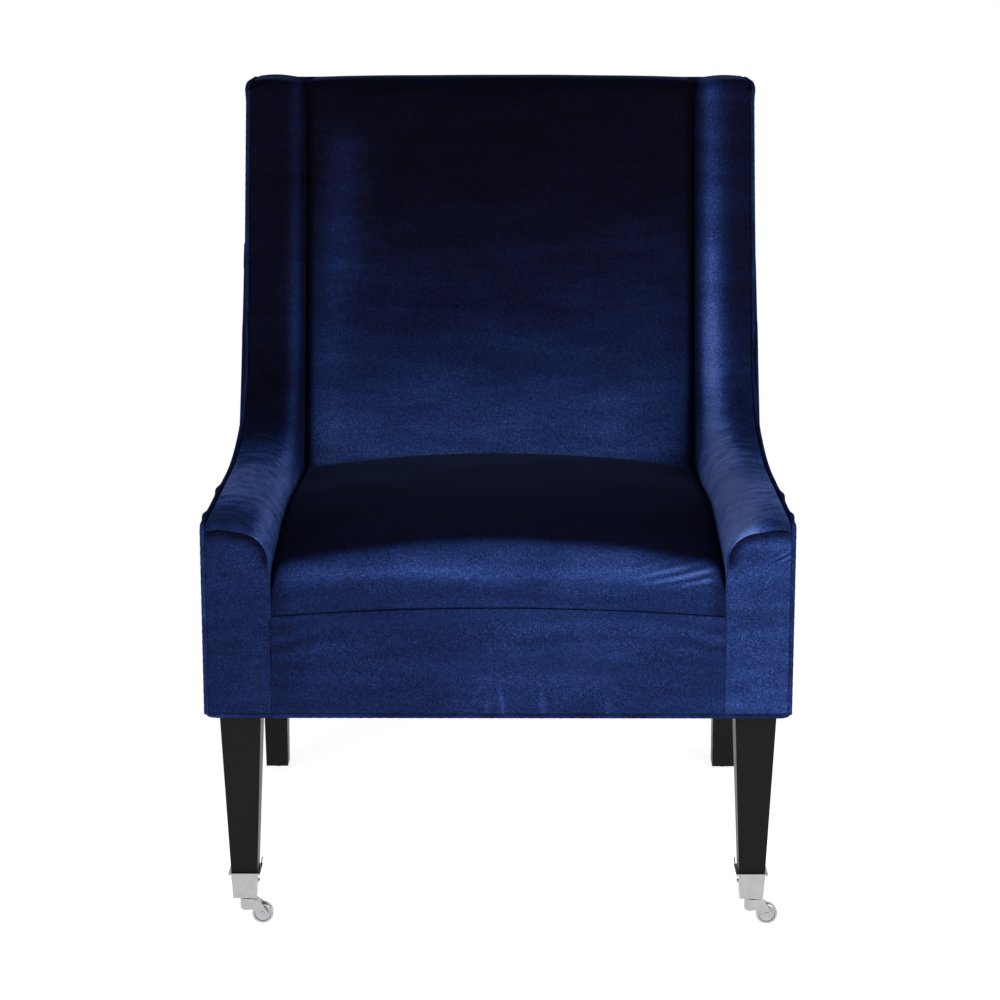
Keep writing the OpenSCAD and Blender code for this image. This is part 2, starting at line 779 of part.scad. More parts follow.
// Riveted axle across the fork
module castor_axle(s) {
    head_t = 0.9;
    color(nickel) at_castor(s) translate([trail, 0, wheel_z]) rotate([90, 0, 0]) {
        cylinder(d = axle_d, h = fork_w, center = true);
        for (d = [-1, 1]) translate([0, 0, d * (fork_w + head_t) / 2])
            cylinder(d = axle_d * 1.7, h = head_t, center = true);
    }
}

// Wheel with a rounded tread and a turned recess in each face
module castor_wheel(s) {
    r = wheel_d / 2;
    w = wheel_w / 2;
    round_r = 1.6;
    recess = 1;
    bore_r = axle_d / 2 + run_gap;
    half = concat([[bore_r, 0], [bore_r, w], [r * 0.36, w], [r * 0.4, w - recess], [r * 0.72, w - recess],
                   [r * 0.76, w]], arc([r - round_r, w - round_r], round_r, 90, 0, 5));
    color(nickel) at_castor(s) translate([trail, 0, wheel_z]) rotate([90, 0, 0])
        rotate_extrude($fn = 64)
            polygon(concat(half, [for (k = [len(half) - 1:-1:1]) [half[k][0], -half[k][1]]]));
}

front_rail();
back_rail();
side_rail(-1);  // left_side_rail
side_rail(1);  // right_side_rail
corner_blocks();
side_panel(-1);  // left_side_panel
side_panel(1);  // right_side_panel
front_post(-1);  // left_front_post
front_post(1);  // right_front_post
back_post(-1);  // left_back_post
back_post(1);  // right_back_post
back_top_rail();
back_cross_rail();
tack_rail(-1);  // left_tack_rail
tack_rail(1);  // right_tack_rail
seat_springs();
spring_clips();
platform_cloth();
back_webbing();
front_pad();
seat_foam();
back_foam();
arm_foam(-1);  // left_arm_foam
arm_foam(1);  // right_arm_foam
seat_cover();
front_border();
inside_back_cover();
inside_arm_cover(-1);  // left_inside_arm_cover
inside_arm_cover(1);  // right_inside_arm_cover
arm_facing(-1);  // left_arm_facing
arm_facing(1);  // right_arm_facing
outside_cover(-1);  // left_outside_cover
outside_cover(1);  // right_outside_cover
outside_back_cover();
piping(-1);  // left_piping
piping(1);  // right_piping
bottom_welt();
dust_cover();
dust_cover_staples();
front_leg(-1);  // left_front_leg
front_leg(1);  // right_front_leg
rear_leg(-1);  // left_rear_leg
rear_leg(1);  // right_rear_leg
leg_bolts();
rear_glide(-1);  // left_rear_glide
rear_glide(1);  // right_rear_glide
castor_cup(-1);  // left_castor_cup
castor_cup(1);  // right_castor_cup
castor_screws();
castor_pintle(-1);  // left_castor_pintle
castor_pintle(1);  // right_castor_pintle
castor_fork(-1);  // left_castor_fork
castor_fork(1);  // right_castor_fork
castor_axle(-1);  // left_castor_axle
castor_axle(1);  // right_castor_axle
castor_wheel(-1);  // left_castor_wheel
castor_wheel(1);  // right_castor_wheel
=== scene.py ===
# %% [markdown]
# # A slope-arm chair in midnight velvet
# The chair was designed in a CAD program first: its frame, foam, castors and joints are fixed there, and
# are loaded here as the frame that every piece has to fit. This lesson makes what the eye sees: the
# velvet over its padding, the piping, the lacquered legs and the plated castors.

# %% Load the frame
import json
import math

import bmesh
import bpy
import numpy as np
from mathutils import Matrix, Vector, noise


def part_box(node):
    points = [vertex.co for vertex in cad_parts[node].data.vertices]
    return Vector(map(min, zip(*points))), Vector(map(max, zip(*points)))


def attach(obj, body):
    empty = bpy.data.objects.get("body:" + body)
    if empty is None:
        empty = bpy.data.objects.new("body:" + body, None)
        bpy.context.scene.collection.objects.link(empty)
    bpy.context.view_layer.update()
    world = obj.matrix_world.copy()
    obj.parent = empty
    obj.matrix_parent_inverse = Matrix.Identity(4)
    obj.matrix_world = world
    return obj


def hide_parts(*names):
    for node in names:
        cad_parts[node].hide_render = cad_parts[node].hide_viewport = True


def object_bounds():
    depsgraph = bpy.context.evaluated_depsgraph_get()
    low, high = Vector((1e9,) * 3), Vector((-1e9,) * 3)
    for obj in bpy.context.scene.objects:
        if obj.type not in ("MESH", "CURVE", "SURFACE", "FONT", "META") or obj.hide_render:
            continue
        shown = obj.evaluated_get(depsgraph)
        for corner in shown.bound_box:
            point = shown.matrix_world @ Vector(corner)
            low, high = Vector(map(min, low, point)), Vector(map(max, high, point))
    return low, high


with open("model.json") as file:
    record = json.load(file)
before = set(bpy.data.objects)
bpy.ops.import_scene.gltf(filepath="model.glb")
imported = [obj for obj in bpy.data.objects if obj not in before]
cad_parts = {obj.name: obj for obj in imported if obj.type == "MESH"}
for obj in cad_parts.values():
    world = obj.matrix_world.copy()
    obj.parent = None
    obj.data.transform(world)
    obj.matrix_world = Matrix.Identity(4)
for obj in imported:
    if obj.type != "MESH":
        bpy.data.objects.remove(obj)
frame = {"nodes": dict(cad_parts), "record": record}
cad_low, cad_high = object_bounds()

# %% [markdown]
# ## The camera
# The chair is looked at from the front, from a little above standing height, with a long lens that
# keeps its sides almost parallel. The camera is made first, so that every later step can be looked at
# from the same place. Its distance counts from the front face of the chair.

# %% Camera
lens_mm = 95.5
camera_distance = 2.90
camera_height = 1.153
camera_side = 0.014
tilt_down = 12.34
turn_left = 0.23

camera = bpy.data.objects.new("camera", bpy.data.cameras.new("camera"))
bpy.context.scene.collection.objects.link(camera)
camera.data.lens = lens_mm
camera.data.sensor_width = 36.0
camera.data.clip_end = 300.0
camera.location = (camera_side, cad_low.y - camera_distance, camera_height)
camera.rotation_euler = (math.radians(90 - tilt_down), 0, math.radians(turn_left))
bpy.context.scene.camera = camera
print("camera at", tuple(round(v, 3) for v in camera.location))

# %% [markdown]
# ## Floor and light
# A pale floor reaches far out on every side, so there is no horizon in view.
# The light is soft: white walls under a dark ceiling, one broad lamp in front to the right, and a weaker
# one to the left. Velvet shows its pile best when the broad lamp is near the camera.

# %% Floor, surroundings and lamps
bpy.context.scene.view_settings.view_transform = "Standard"

world = bpy.data.worlds.new("studio")
bpy.context.scene.world = world
world.use_nodes = True
tree = world.node_tree
direction = tree.nodes.new("ShaderNodeTexCoord")
upwards = tree.nodes.new("ShaderNodeSeparateXYZ")
room = tree.nodes.new("ShaderNodeValToRGB")
tree.links.new(direction.outputs["Generated"], upwards.inputs[0])
tree.links.new(upwards.outputs["Z"], room.inputs[0])
tree.links.new(room.outputs[0], tree.nodes["Background"].inputs["Color"])
wall_top, ceiling_low = 0.22, 0.55
room.color_ramp.elements[0].position = wall_top
room.color_ramp.elements[0].color = (1.0, 1.0, 1.0, 1.0)
room.color_ramp.elements[1].position = ceiling_low
room.color_ramp.elements[1].color = (0.05, 0.05, 0.05, 1.0)


def lamp(name, place, aim, size, power):
    """A broad square lamp at place that shines towards aim."""
    light = bpy.data.lights.new(name, "AREA")
    light.shape = "SQUARE"
    light.size = size
    light.energy = power
    made = bpy.data.objects.new(name, light)
    made.location = place
    made.rotation_euler = (Vector(aim) - Vector(place)).to_track_quat("-Z", "Y").to_euler()
    bpy.context.scene.collection.objects.link(made)
    return made


lamp("key_lamp", (1.6, -2.6, 1.7), (0.0, 0.0, 0.5), 1.6, 42)
lamp("fill_lamp", (-1.9, -2.4, 1.2), (0.0, 0.0, 0.5), 1.6, 16)

floor_mesh = bpy.data.meshes.new("floor")
reach = 80.0
floor_mesh.from_pydata([(-reach, -reach, 0), (reach, -reach, 0), (reach, reach, 0), (-reach, reach, 0)],
                       [], [(0, 1, 2, 3)])
floor = bpy.data.objects.new("floor", floor_mesh)
bpy.context.scene.collection.objects.link(floor)

# %% [markdown]
# ## Writing finishes as sums
# A finish is a small network of nodes. It reads best when it is written as arithmetic, so one class wraps
# a socket: adding, subtracting or multiplying two of them adds the Math node that does it.
# Every other kind of node comes from one method of the finish.

# %% Sockets that can be added and multiplied
class Wire:
    """A socket's value that takes part in arithmetic."""

    def __init__(self, tree, socket):
        self.tree = tree
        self.socket = socket

    def math(self, operation, first, second):
        node = self.tree.nodes.new("ShaderNodeMath")
        node.operation = operation
        for slot, value in zip(node.inputs, (first, second)):
            if isinstance(value, Wire):
                self.tree.links.new(value.socket, slot)
            else:
                slot.default_value = value
        return Wire(self.tree, node.outputs[0])

    def __add__(self, other):
        return self.math("ADD", self, other)

    __radd__ = __add__

    def __sub__(self, other):
        return self.math("SUBTRACT", self, other)

    def __rsub__(self, other):
        return self.math("SUBTRACT", other, self)

    def __mul__(self, other):
        return self.math("MULTIPLY", self, other)

    __rmul__ = __mul__


class Finish:
    """A material under construction: a Principled shader and the nodes that feed it."""

    def __init__(self, name, **fixed):
        self.material = bpy.data.materials.new(name)
        self.material.use_nodes = True
        self.tree = self.material.node_tree
        self.shader = self.tree.nodes["Principled BSDF"]
        for socket, value in fixed.items():
            self.shader.inputs[socket.replace("_", " ")].default_value = value

    def node(self, kind, settings=None, output=0, **sockets):
        """Add a node: its settings first, then the values or links of its sockets."""
        made = self.tree.nodes.new("ShaderNode" + kind)
        for key, value in (settings or {}).items():
            setattr(made, key, value)
        for key, value in sockets.items():
            slot = made.inputs[int(key[1:])] if key[1:].isdigit() else made.inputs[key.replace("_", " ")]
            if isinstance(value, Wire):
                self.tree.links.new(value.socket, slot)
            else:
                slot.default_value = value
        return Wire(self.tree, made.outputs[output])

    def place(self):
        """The place on the piece, in metres."""
        return self.node("TexCoord", output="Object")

    def stretched(self, x, y, z):
        """The place with each direction scaled by its own number."""
        return self.node("Mapping", None, 0, Vector=self.place(), Scale=(x, y, z))

    def noise(self, scale, detail=2.0, distortion=0.0, at=None):
        return self.node("TexNoise", None, "Fac", Vector=at or self.place(), Scale=scale, Detail=detail,
                         Distortion=distortion)

    def blend(self, share, first, second):
        """One colour over another by share, from 0 to 1."""
        return self.node("Mix", {"data_type": "RGBA"}, 2, _0=share, _6=first, _7=second)

    def ramp(self, value, stops):
        """Colour by value: a list of (position, colour)."""
        made = self.tree.nodes.new("ShaderNodeValToRGB")
        elements = made.color_ramp.elements
        while len(elements) < len(stops):
            elements.new(1.0)
        for element, (position, colour) in zip(elements, stops):
            element.position = position
            element.color = (*colour, 1.0)
        self.tree.links.new(value.socket, made.inputs[0])
        return Wire(self.tree, made.outputs[0])

    def relief(self, height, depth, strength=1.0):
        """Tilt the surface by height, where 1 stands for depth metres."""
        return self.node("Bump", None, 0, Height=height, Distance=depth, Strength=strength)

    def feed(self, **sockets):
        for key, value in sockets.items():
            self.tree.links.new(value.socket, self.shader.inputs[key.replace("_", " ")])
        return self.material


print("finishes are written as sums of nodes")

# %% [markdown]
# ## Velvet
# Velvet is a ground cloth with a short upright pile. Where the pile leans away from you it looks almost
# black, and where it leans towards you it shines blue. Here that is painted: each piece carries a value of
# tone and painted light, from 0 for painted shade to 1 for painted sheen, set by how each part faces the
# lamps and the camera, and the colour is read from it. Broad patches of crushed pile and fine tufts are
# added with noise.

# %% Velvet
velvet = Finish("velvet", Specular_IOR_Level=0.0, Sheen_Weight=0.06, Sheen_Roughness=0.30,
                Sheen_Tint=(0.25, 0.38, 1.0, 1.0))
# Each piece's own tone with its painted sheen and shade, read from the mesh.
tone_and_painted_light = velvet.node("Attribute", {"attribute_name": "tone_and_painted_light"}, "Fac")
crush = velvet.noise(9.0, 3.0, 0.6)
bands = velvet.noise(1.0, 3.0, 0.5, velvet.stretched(9, 9, 46))
streak = velvet.noise(310.0, 3.0, 0.3)
tuft = velvet.noise(880.0, 1.0)
# The value of tone and painted light runs a little past 1 in the brightest tufts, so the ramp is stretched
# by a third.
pile_tone_and_light = tone_and_painted_light + (crush - 0.5) * 0.18 + (bands - 0.5) * 0.28 + (streak - 0.5) * 0.30 + (tuft - 0.5) * 0.80
velvet_colour = velvet.ramp(pile_tone_and_light * 0.75, [
    (0.000, (0.0030, 0.0026, 0.0058)),
    (0.165, (0.0042, 0.0048, 0.0175)),
    (0.315, (0.0066, 0.0108, 0.045)),
    (0.465, (0.0102, 0.0225, 0.092)),
    (0.600, (0.025, 0.052, 0.200)),
    (0.750, (0.074, 0.128, 0.390)),
    (1.000, (0.170, 0.230, 0.560)),
])
velvet_normal = velvet.relief(tuft * 0.6 + streak * 1.0, 0.0004, 0.5)
velvet.feed(Base_Color=velvet_colour, Roughness=0.82 - streak * 0.14, Normal=velvet_normal)
print("velvet made")

# %% [markdown]
# ## The other finishes
# The floor is paper, the legs are hardwood under satin black lacquer, and the castors are steel with a
# polished nickel plate. The pieces inside the chair get honest finishes too: planed beech with grain
# along the rails, plywood, bare spring steel, woven jute, elastic webbing and foam.

# %% Floor paper
paper = Finish("floor_paper", Roughness=0.9, Specular_IOR_Level=0.1, Emission_Color=(1, 1, 1, 1),
               Emission_Strength=0.8)
paper.feed(Base_Color=paper.blend(paper.noise(3.0), (0.93, 0.93, 0.93, 1), (0.96, 0.96, 0.96, 1)))
floor_mesh.materials.append(paper.material)

# %% Black lacquer
lacquer = Finish("black_lacquer", Specular_IOR_Level=0.10)
grain = lacquer.noise(1.0, 5.0, 0.0, lacquer.stretched(260, 260, 14))
wear = lacquer.noise(40.0, 3.0)
lacquer.feed(Base_Color=lacquer.blend(grain, (0.0040, 0.0039, 0.0036, 1), (0.0075, 0.0073, 0.0068, 1)),
             Roughness=0.30 + wear * 0.12 + grain * 0.06, Normal=lacquer.relief(grain, 0.0002, 0.35))

# %% Nickel plate
nickel = Finish("nickel_plate", Metallic=1.0)
smear = nickel.noise(90.0, 4.0, 0.3)
polish = nickel.noise(800.0, 2.0)
nickel.feed(Base_Color=nickel.blend(smear, (0.33, 0.33, 0.335, 1), (0.48, 0.48, 0.49, 1)),
            Roughness=0.10 + smear * 0.14, Normal=nickel.relief(polish, 0.00004, 0.3))

# %% Finishes of the hidden pieces
def wood(name, light, dark, rings):
    """Sawn timber with grain along the piece."""
    finish = Finish(name, Specular_IOR_Level=0.3)
    figure = finish.node("TexWave", {"wave_type": "BANDS", "bands_direction": "Z"}, "Fac",
                         Vector=finish.stretched(6, 9, 70), Scale=rings, Distortion=9.0, Detail=3.0)
    pores = finish.noise(420.0, 2.0)
    return finish.feed(Base_Color=finish.blend(figure * 0.7 + pores * 0.3, light, dark),
                       Roughness=0.55 + pores * 0.2, Normal=finish.relief(pores, 0.0003, 0.4))


def cloth(name, light, dark, threads, roughness=0.9):
    """A plain weave with threads to the metre."""
    finish = Finish(name, Specular_IOR_Level=0.15)
    warp, weft = (finish.node("TexWave", {"wave_type": "BANDS", "bands_direction": way}, "Fac",
                              Vector=finish.place(), Scale=threads, Distortion=0.6) for way in "XY")
    fluff = finish.noise(300.0, 3.0)
    weave = warp * weft
    return finish.feed(Base_Color=finish.blend(weave * 0.6 + fluff * 0.4, dark, light),
                       Roughness=roughness - fluff * 0.1, Normal=finish.relief(weave, 0.0005, 0.6))


def metal(name, light, dark, roughness):
    """Drawn or pressed steel with a faint grain."""
    finish = Finish(name, Metallic=1.0)
    drawn = finish.noise(240.0, 4.0, 0.2)
    return finish.feed(Base_Color=finish.blend(drawn, dark, light), Roughness=roughness + drawn * 0.15,
                       Normal=finish.relief(drawn, 0.0001, 0.3))


def moulded(name, light, dark):
    """Moulded plastic or foam with an even, finely pitted skin."""
    finish = Finish(name, Specular_IOR_Level=0.3)
    pits = finish.noise(500.0, 3.0)
    return finish.feed(Base_Color=finish.blend(pits, dark, light), Roughness=0.5 + pits * 0.3,
                       Normal=finish.relief(pits, 0.0003, 0.5))


finishes = {
    "velvet": velvet.material,
    "black_lacquer": lacquer.material,
    "nickel_plate": nickel.material,
    "frame_wood": wood("frame_wood", (0.62, 0.46, 0.28, 1), (0.42, 0.28, 0.15, 1), 1.6),
    "plywood": wood("plywood", (0.68, 0.52, 0.33, 1), (0.50, 0.36, 0.20, 1), 3.0),
    "spring_steel": metal("spring_steel", (0.42, 0.42, 0.44, 1), (0.25, 0.25, 0.26, 1), 0.35),
    "bolt_steel": metal("bolt_steel", (0.55, 0.55, 0.57, 1), (0.36, 0.36, 0.38, 1), 0.3),
    "hessian": cloth("hessian", (0.46, 0.35, 0.20, 1), (0.24, 0.17, 0.09, 1), 90.0),
    "webbing": cloth("webbing", (0.10, 0.10, 0.11, 1), (0.03, 0.03, 0.035, 1), 160.0),
    "dust_cloth": cloth("dust_cloth", (0.035, 0.035, 0.038, 1), (0.012, 0.012, 0.014, 1), 220.0),
    "foam": moulded("foam", (0.85, 0.78, 0.55, 1), (0.70, 0.62, 0.42, 1)),
    "glide_plastic": moulded("glide_plastic", (0.05, 0.05, 0.05, 1), (0.02, 0.02, 0.02, 1)),
}
slot_of = {part["node"]: part["material_slot"] for part in frame["record"]["subparts"]}
for name, part in frame["nodes"].items():
    part.data.materials.clear()
    part.data.materials.append(finishes[slot_of[name]])
print("finishes on", len(slot_of), "CAD nodes")

# %% [markdown]
# ## Sizes that the covers follow
# The places of the covers come from the frame: the half width, the inner faces of the arms, the height
# of the underside and so on. The swept line over the arm and up the wing is three arcs and a straight,
# with the same radii as the plywood sides under the velvet.

# %% Sizes from the frame
half_width = cad_high.x
front_y = cad_low.y
rear_y = cad_high.y
top_z = cad_high.z
base_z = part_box("bottom_welt")[0].z
inner_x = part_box("inside_back_cover")[1].x
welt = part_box("bottom_welt")[1].z - base_z
wrap_x = half_width - welt
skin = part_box("right_outside_cover")[1].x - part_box("right_outside_cover")[0].x
platform_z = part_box("seat_foam")[0].z
seam_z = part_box("seat_cover")[0].z
seat_top_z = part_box("seat_cover")[1].z
facing_drop = 0.0103
arm_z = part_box("left_arm_facing")[1].z + facing_drop
knee_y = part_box("bottom_welt")[1].y

rise_r, rise_a = 0.600, math.radians(15.6)
sweep_r = 0.135
wing_a = math.radians(90 - 16.5)
wing_top_y = rear_y - 0.115
knee_z = 0.400
back_lean = math.atan((rear_y - knee_y) / (top_z - knee_z))
inner_lean = math.radians(13.4)
back_top_y = rear_y - 0.105
print("seat between the arms: %.0f mm, seat height: %.0f mm" % (2000 * inner_x, 1000 * seat_top_z))


# %% Lines drawn in the side view
def arc(centre, radius, start, stop, steps):
    """Points on an arc in the side view, as depth and height, by angles in radians."""
    turn = np.linspace(start, stop, steps + 1)
    return np.column_stack([centre[0] + radius * np.cos(turn), centre[1] + radius * np.sin(turn)])


def run_of(line):
    """How far along a line each of its points lies."""
    return np.concatenate([[0], np.cumsum(np.linalg.norm(np.diff(line, axis=0), axis=1))])


def spaced(points, step):
    """The same line with points at even distances of about step."""
    points = np.asarray(points, float)
    run = run_of(points)
    count = max(2, int(round(run[-1] / step)) + 1)
    at = np.linspace(0, run[-1], count)
    return np.column_stack([np.interp(at, run, points[:, k]) for k in range(points.shape[1])])


def rear_at(z, inset=0.0):
    """Depth of the outside back at height z."""
    knee = knee_z + inset * math.tan(back_lean / 2)
    return knee_y - inset + max(0.0, z - knee) * math.tan(back_lean)


def inner_at(z):
    """Depth of the padded face of the back beside the wings."""
    return back_top_y - (top_z - z) * math.tan(inner_lean)


def arm_line(inset, front_r=0.010, top_r=0.016):
    """The line over the arm and up the wing to the top edge, moved inwards by inset."""
    rise = arc((rise_y, arm_z + rise_r), rise_r + inset, -math.pi / 2, rise_a - math.pi / 2, 24)
    sweep = arc(sweep_c, sweep_r + inset, rise_a - math.pi / 2, wing_a - math.pi / 2, 40)
    top = top_z - inset
    r = max(top_r - inset, 0.002)
    wing_y = wing_top_y - (inset + r) / math.tan(wing_a) + (inset + r) / math.sin(wing_a)
    corner = arc((wing_y, top - r), r, wing_a + math.pi / 2, math.pi / 2, 10)
    return np.vstack([[[front_y + front_r, arm_z - inset]], rise, sweep, corner])


arcs_y = rise_r * math.sin(rise_a) + sweep_r * (math.sin(wing_a) - math.sin(rise_a))
arcs_z = rise_r * (1 - math.cos(rise_a)) + sweep_r * (math.cos(rise_a) - math.cos(wing_a))
rise_y = wing_top_y - (top_z - arm_z - arcs_z) / math.tan(wing_a) - arcs_y
sweep_c = (rise_y + (rise_r - sweep_r) * math.sin(rise_a),
           arm_z + rise_r - (rise_r - sweep_r) * math.cos(rise_a))
print("the arm starts to rise %.0f mm behind the front" % (1000 * (rise_y - front_y)))

# %% [markdown]
# ## Making panels
# Upholstery is sewn from panels, and a panel is easy to describe as rows of points. One helper turns rows
# of points into a mesh, and another fills the space between four edges. Each surface is then given
# thickness, so every piece is a closed solid.

# %% Rows of points become a mesh
def piece_from_rows(name, rows, close_rows=False, close_columns=False):
    """A mesh of four-sided faces from rows of points, all of the same length."""
    rows = np.asarray(rows, float)
    n, m = rows.shape[:2]
    faces = []
    for i in range(n if close_rows else n - 1):
        for j in range(m if close_columns else m - 1):
            a, b = (i + 1) % n, (j + 1) % m
            faces.append((i * m + j, i * m + b, a * m + b, a * m + j))
    mesh = bpy.data.meshes.new(name)
    mesh.from_pydata([tuple(p) for p in rows.reshape(-1, 3)], [], faces)
    mesh.update()
    made = bpy.data.objects.new(name, mesh)
    bpy.context.scene.collection.objects.link(made)
    mesh.polygons.foreach_set("use_smooth", [True] * len(mesh.polygons))
    return made


def edged(count, edge):
    """Even steps from 0 to 1, with one more narrow step at each end."""
    return np.concatenate([[0], np.linspace(edge, 1 - edge, count), [1]])


def between(bottom, top, left, right, up, across):
    """Fill the space between four edges: rows of points blended from all of them."""
    def at(edge, shares):
        edge = np.asarray(edge, float)
        run = run_of(edge)
        return np.column_stack([np.interp(shares * run[-1], run, edge[:, k]) for k in range(3)])

    b, t = at(bottom, across), at(top, across)
    l, r = at(left, up), at(right, up)
    u = across[None, :, None]
    v = up[:, None, None]
    corners = ((1 - u) * (1 - v) * b[0] + u * (1 - v) * b[-1] + (1 - u) * v * t[0] + u * v * t[-1])
    return (1 - v) * b[None] + v * t[None] + (1 - u) * l[:, None] + u * r[:, None] - corners


def apply_modifiers(obj):
    """Keep the result of the modifiers as the piece's own mesh."""
    shaped = bpy.data.meshes.new_from_object(obj.evaluated_get(bpy.context.evaluated_depsgraph_get()))
    old = obj.data
    obj.modifiers.clear()
    obj.data = shaped
    bpy.data.meshes.remove(old)


def thicken(obj, thickness):
    """Turn a surface into a closed skin that grows inwards."""
    solid = obj.modifiers.new("thickness", "SOLIDIFY")
    solid.thickness = thickness
    solid.offset = -1
    solid.use_quality_normals = True
    apply_modifiers(obj)


def points_of(obj, kind="co"):
    values = np.empty(len(obj.data.vertices) * 3)
    obj.data.vertices.foreach_get(kind, values)
    return values.reshape(-1, 3)


def normals_of(obj):
    return points_of(obj, "normal")


def set_points(obj, points):
    obj.data.vertices.foreach_set("co", np.asarray(points, float).ravel())
    obj.data.update()


print("panel helpers ready")


# %% Fields over a surface
def smooth(low, high, value):
    """0 below low, 1 above high, and an even curve between."""
    t = np.clip((np.asarray(value, float) - low) / (high - low), 0, 1)
    return t * t * (3 - 2 * t)


def hill(value, middle, width):
    """1 at middle, falling to nothing on both sides."""
    return np.exp(-((np.asarray(value, float) - middle) / width) ** 2)


def cloudy(points, scale, seed=0.0):
    """Slow random patches from -1 to 1, the same each time."""
    shift = Vector((seed, 2 * seed, 3 * seed))
    return np.array([noise.noise(Vector(p) * scale + shift) for p in points])


def store(obj, name, values):
    """Keep one number for each point of the mesh."""
    kept = obj.data.attributes.get(name) or obj.data.attributes.new(name, "FLOAT", "POINT")
    kept.data.foreach_set("value", np.asarray(values, float).ravel())


def stored(obj, name):
    values = np.empty(len(obj.data.vertices))
    obj.data.attributes[name].data.foreach_get("value", values)
    return values


# %% [markdown]
# ## Stuffed fabric
# Fabric over foam bellies out between its seams. Blender's cloth solver does this: the seams are held,
# the rest is blown outwards a little, and the result is kept as plain mesh. How far a point may move is
# limited, so that the chair keeps its size. One subdivision then makes the surface fine and even.

# %% Blow a cover out over its padding
def stuff(obj, held, pressure, most):
    """Run the cloth solver on a cover whose held points stay, and keep what it gives."""
    start = points_of(obj)
    group = obj.vertex_groups.new(name="held")
    for index in np.nonzero(held)[0]:
        group.add([int(index)], 1.0, "REPLACE")
    solver = obj.modifiers.new("cloth", "CLOTH")
    fabric = solver.settings
    fabric.quality = 5
    fabric.mass = 0.3
    fabric.tension_stiffness = 18
    fabric.compression_stiffness = 18
    fabric.bending_stiffness = 1.5
    fabric.vertex_group_mass = "held"
    fabric.use_pressure = True
    fabric.uniform_pressure_force = pressure
    fabric.effector_weights.gravity = 0
    scene = bpy.context.scene
    last_frame = 20
    solver.point_cache.frame_start = 1
    solver.point_cache.frame_end = last_frame
    for frame_number in range(1, last_frame + 1):
        scene.frame_set(frame_number)
    move = points_of(obj.evaluated_get(bpy.context.evaluated_depsgraph_get())) - start
    length = np.linalg.norm(move, axis=1, keepdims=True)
    move *= most * np.tanh(length / most) / np.maximum(length, 1e-9)
    obj.modifiers.clear()
    obj.vertex_groups.clear()
    scene.frame_set(1)
    set_points(obj, start + move)
    print("%s bellies out by up to %.1f mm" % (obj.name, 1000 * np.linalg.norm(move, axis=1).max()))


def refine(obj):
    """Subdivide once to an even, fine surface."""
    sub = obj.modifiers.new("fine", "SUBSURF")
    sub.levels = 1
    sub.boundary_smooth = "PRESERVE_CORNERS"
    apply_modifiers(obj)
    return obj


def finish_cover(obj, nodes, thickness=0.0025):
    """Close the cover's mesh, give it velvet, hang it on the chair and hide the CAD nodes that it covers.
    """
    thicken(obj, thickness)
    obj.data.polygons.foreach_set("use_smooth", [True] * len(obj.data.polygons))
    obj.data.materials.clear()
    obj.data.materials.append(velvet.material)
    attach(obj, "chair")
    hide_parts(*nodes)


def push(obj, distance):
    """Move each point along its normal."""
    set_points(obj, points_of(obj) + normals_of(obj) * np.asarray(distance)[:, None])


def edge_mask(rows, columns, first_rows, last_rows, first_columns, last_columns):
    """True for the points of a grid near its edges."""
    held = np.zeros((rows, columns), bool)
    held[:first_rows] = True
    held[rows - last_rows:] = True
    held[:, :first_columns] = True
    held[:, columns - last_columns:] = True
    return held.ravel()


def inside_the_back(rows, room=0.0032):
    """Keep points in front of the outside back."""
    limit = np.vectorize(rear_at)(rows[..., 2]) - room
    rows[..., 1] = np.minimum(rows[..., 1], limit)
    return rows


# %% [markdown]
# ## The inside back
# The inside back is one piece of velvet over foam. It swells forwards in the middle, rolls in at both
# sides where it is pulled between the wings, and goes over the top rail to the outside back. Each row of
# points runs across the back. Towards the sides the points sink along the normal, so that there is a deep
# crease beside each wing.

# %% Shape of the inside back
gap = 0.0003
swell = 0.018
seat_half = inner_x - gap


def roll_in(x, half, radius):
    """How deep a rolled side sinks at width x."""
    past = np.clip((np.abs(x) - (half - radius)) / radius, 0, 1)
    return radius * (1 - np.sqrt(np.maximum(0, 1 - past ** 2)))


def back_face(x, z):
    return inner_at(z) - swell * (1 - (np.abs(x) / inner_x) ** 2)


def across_columns(half, step, tuck, tucks):
    """Widths of the columns with extra tucked ones at both sides, and how deep those go."""
    flat = spaced([[-half, 0], [half, 0]], step)[:, 0]
    flat = half * np.sin(flat / half * math.pi / 2) * 0.35 + flat * 0.65
    deep = tuck * np.arange(1, tucks + 1) / tucks
    x = np.concatenate([np.full(tucks, -half), flat, np.full(tucks, half)])
    sink = np.concatenate([deep[::-1], np.zeros(len(flat)), deep])
    return x, sink


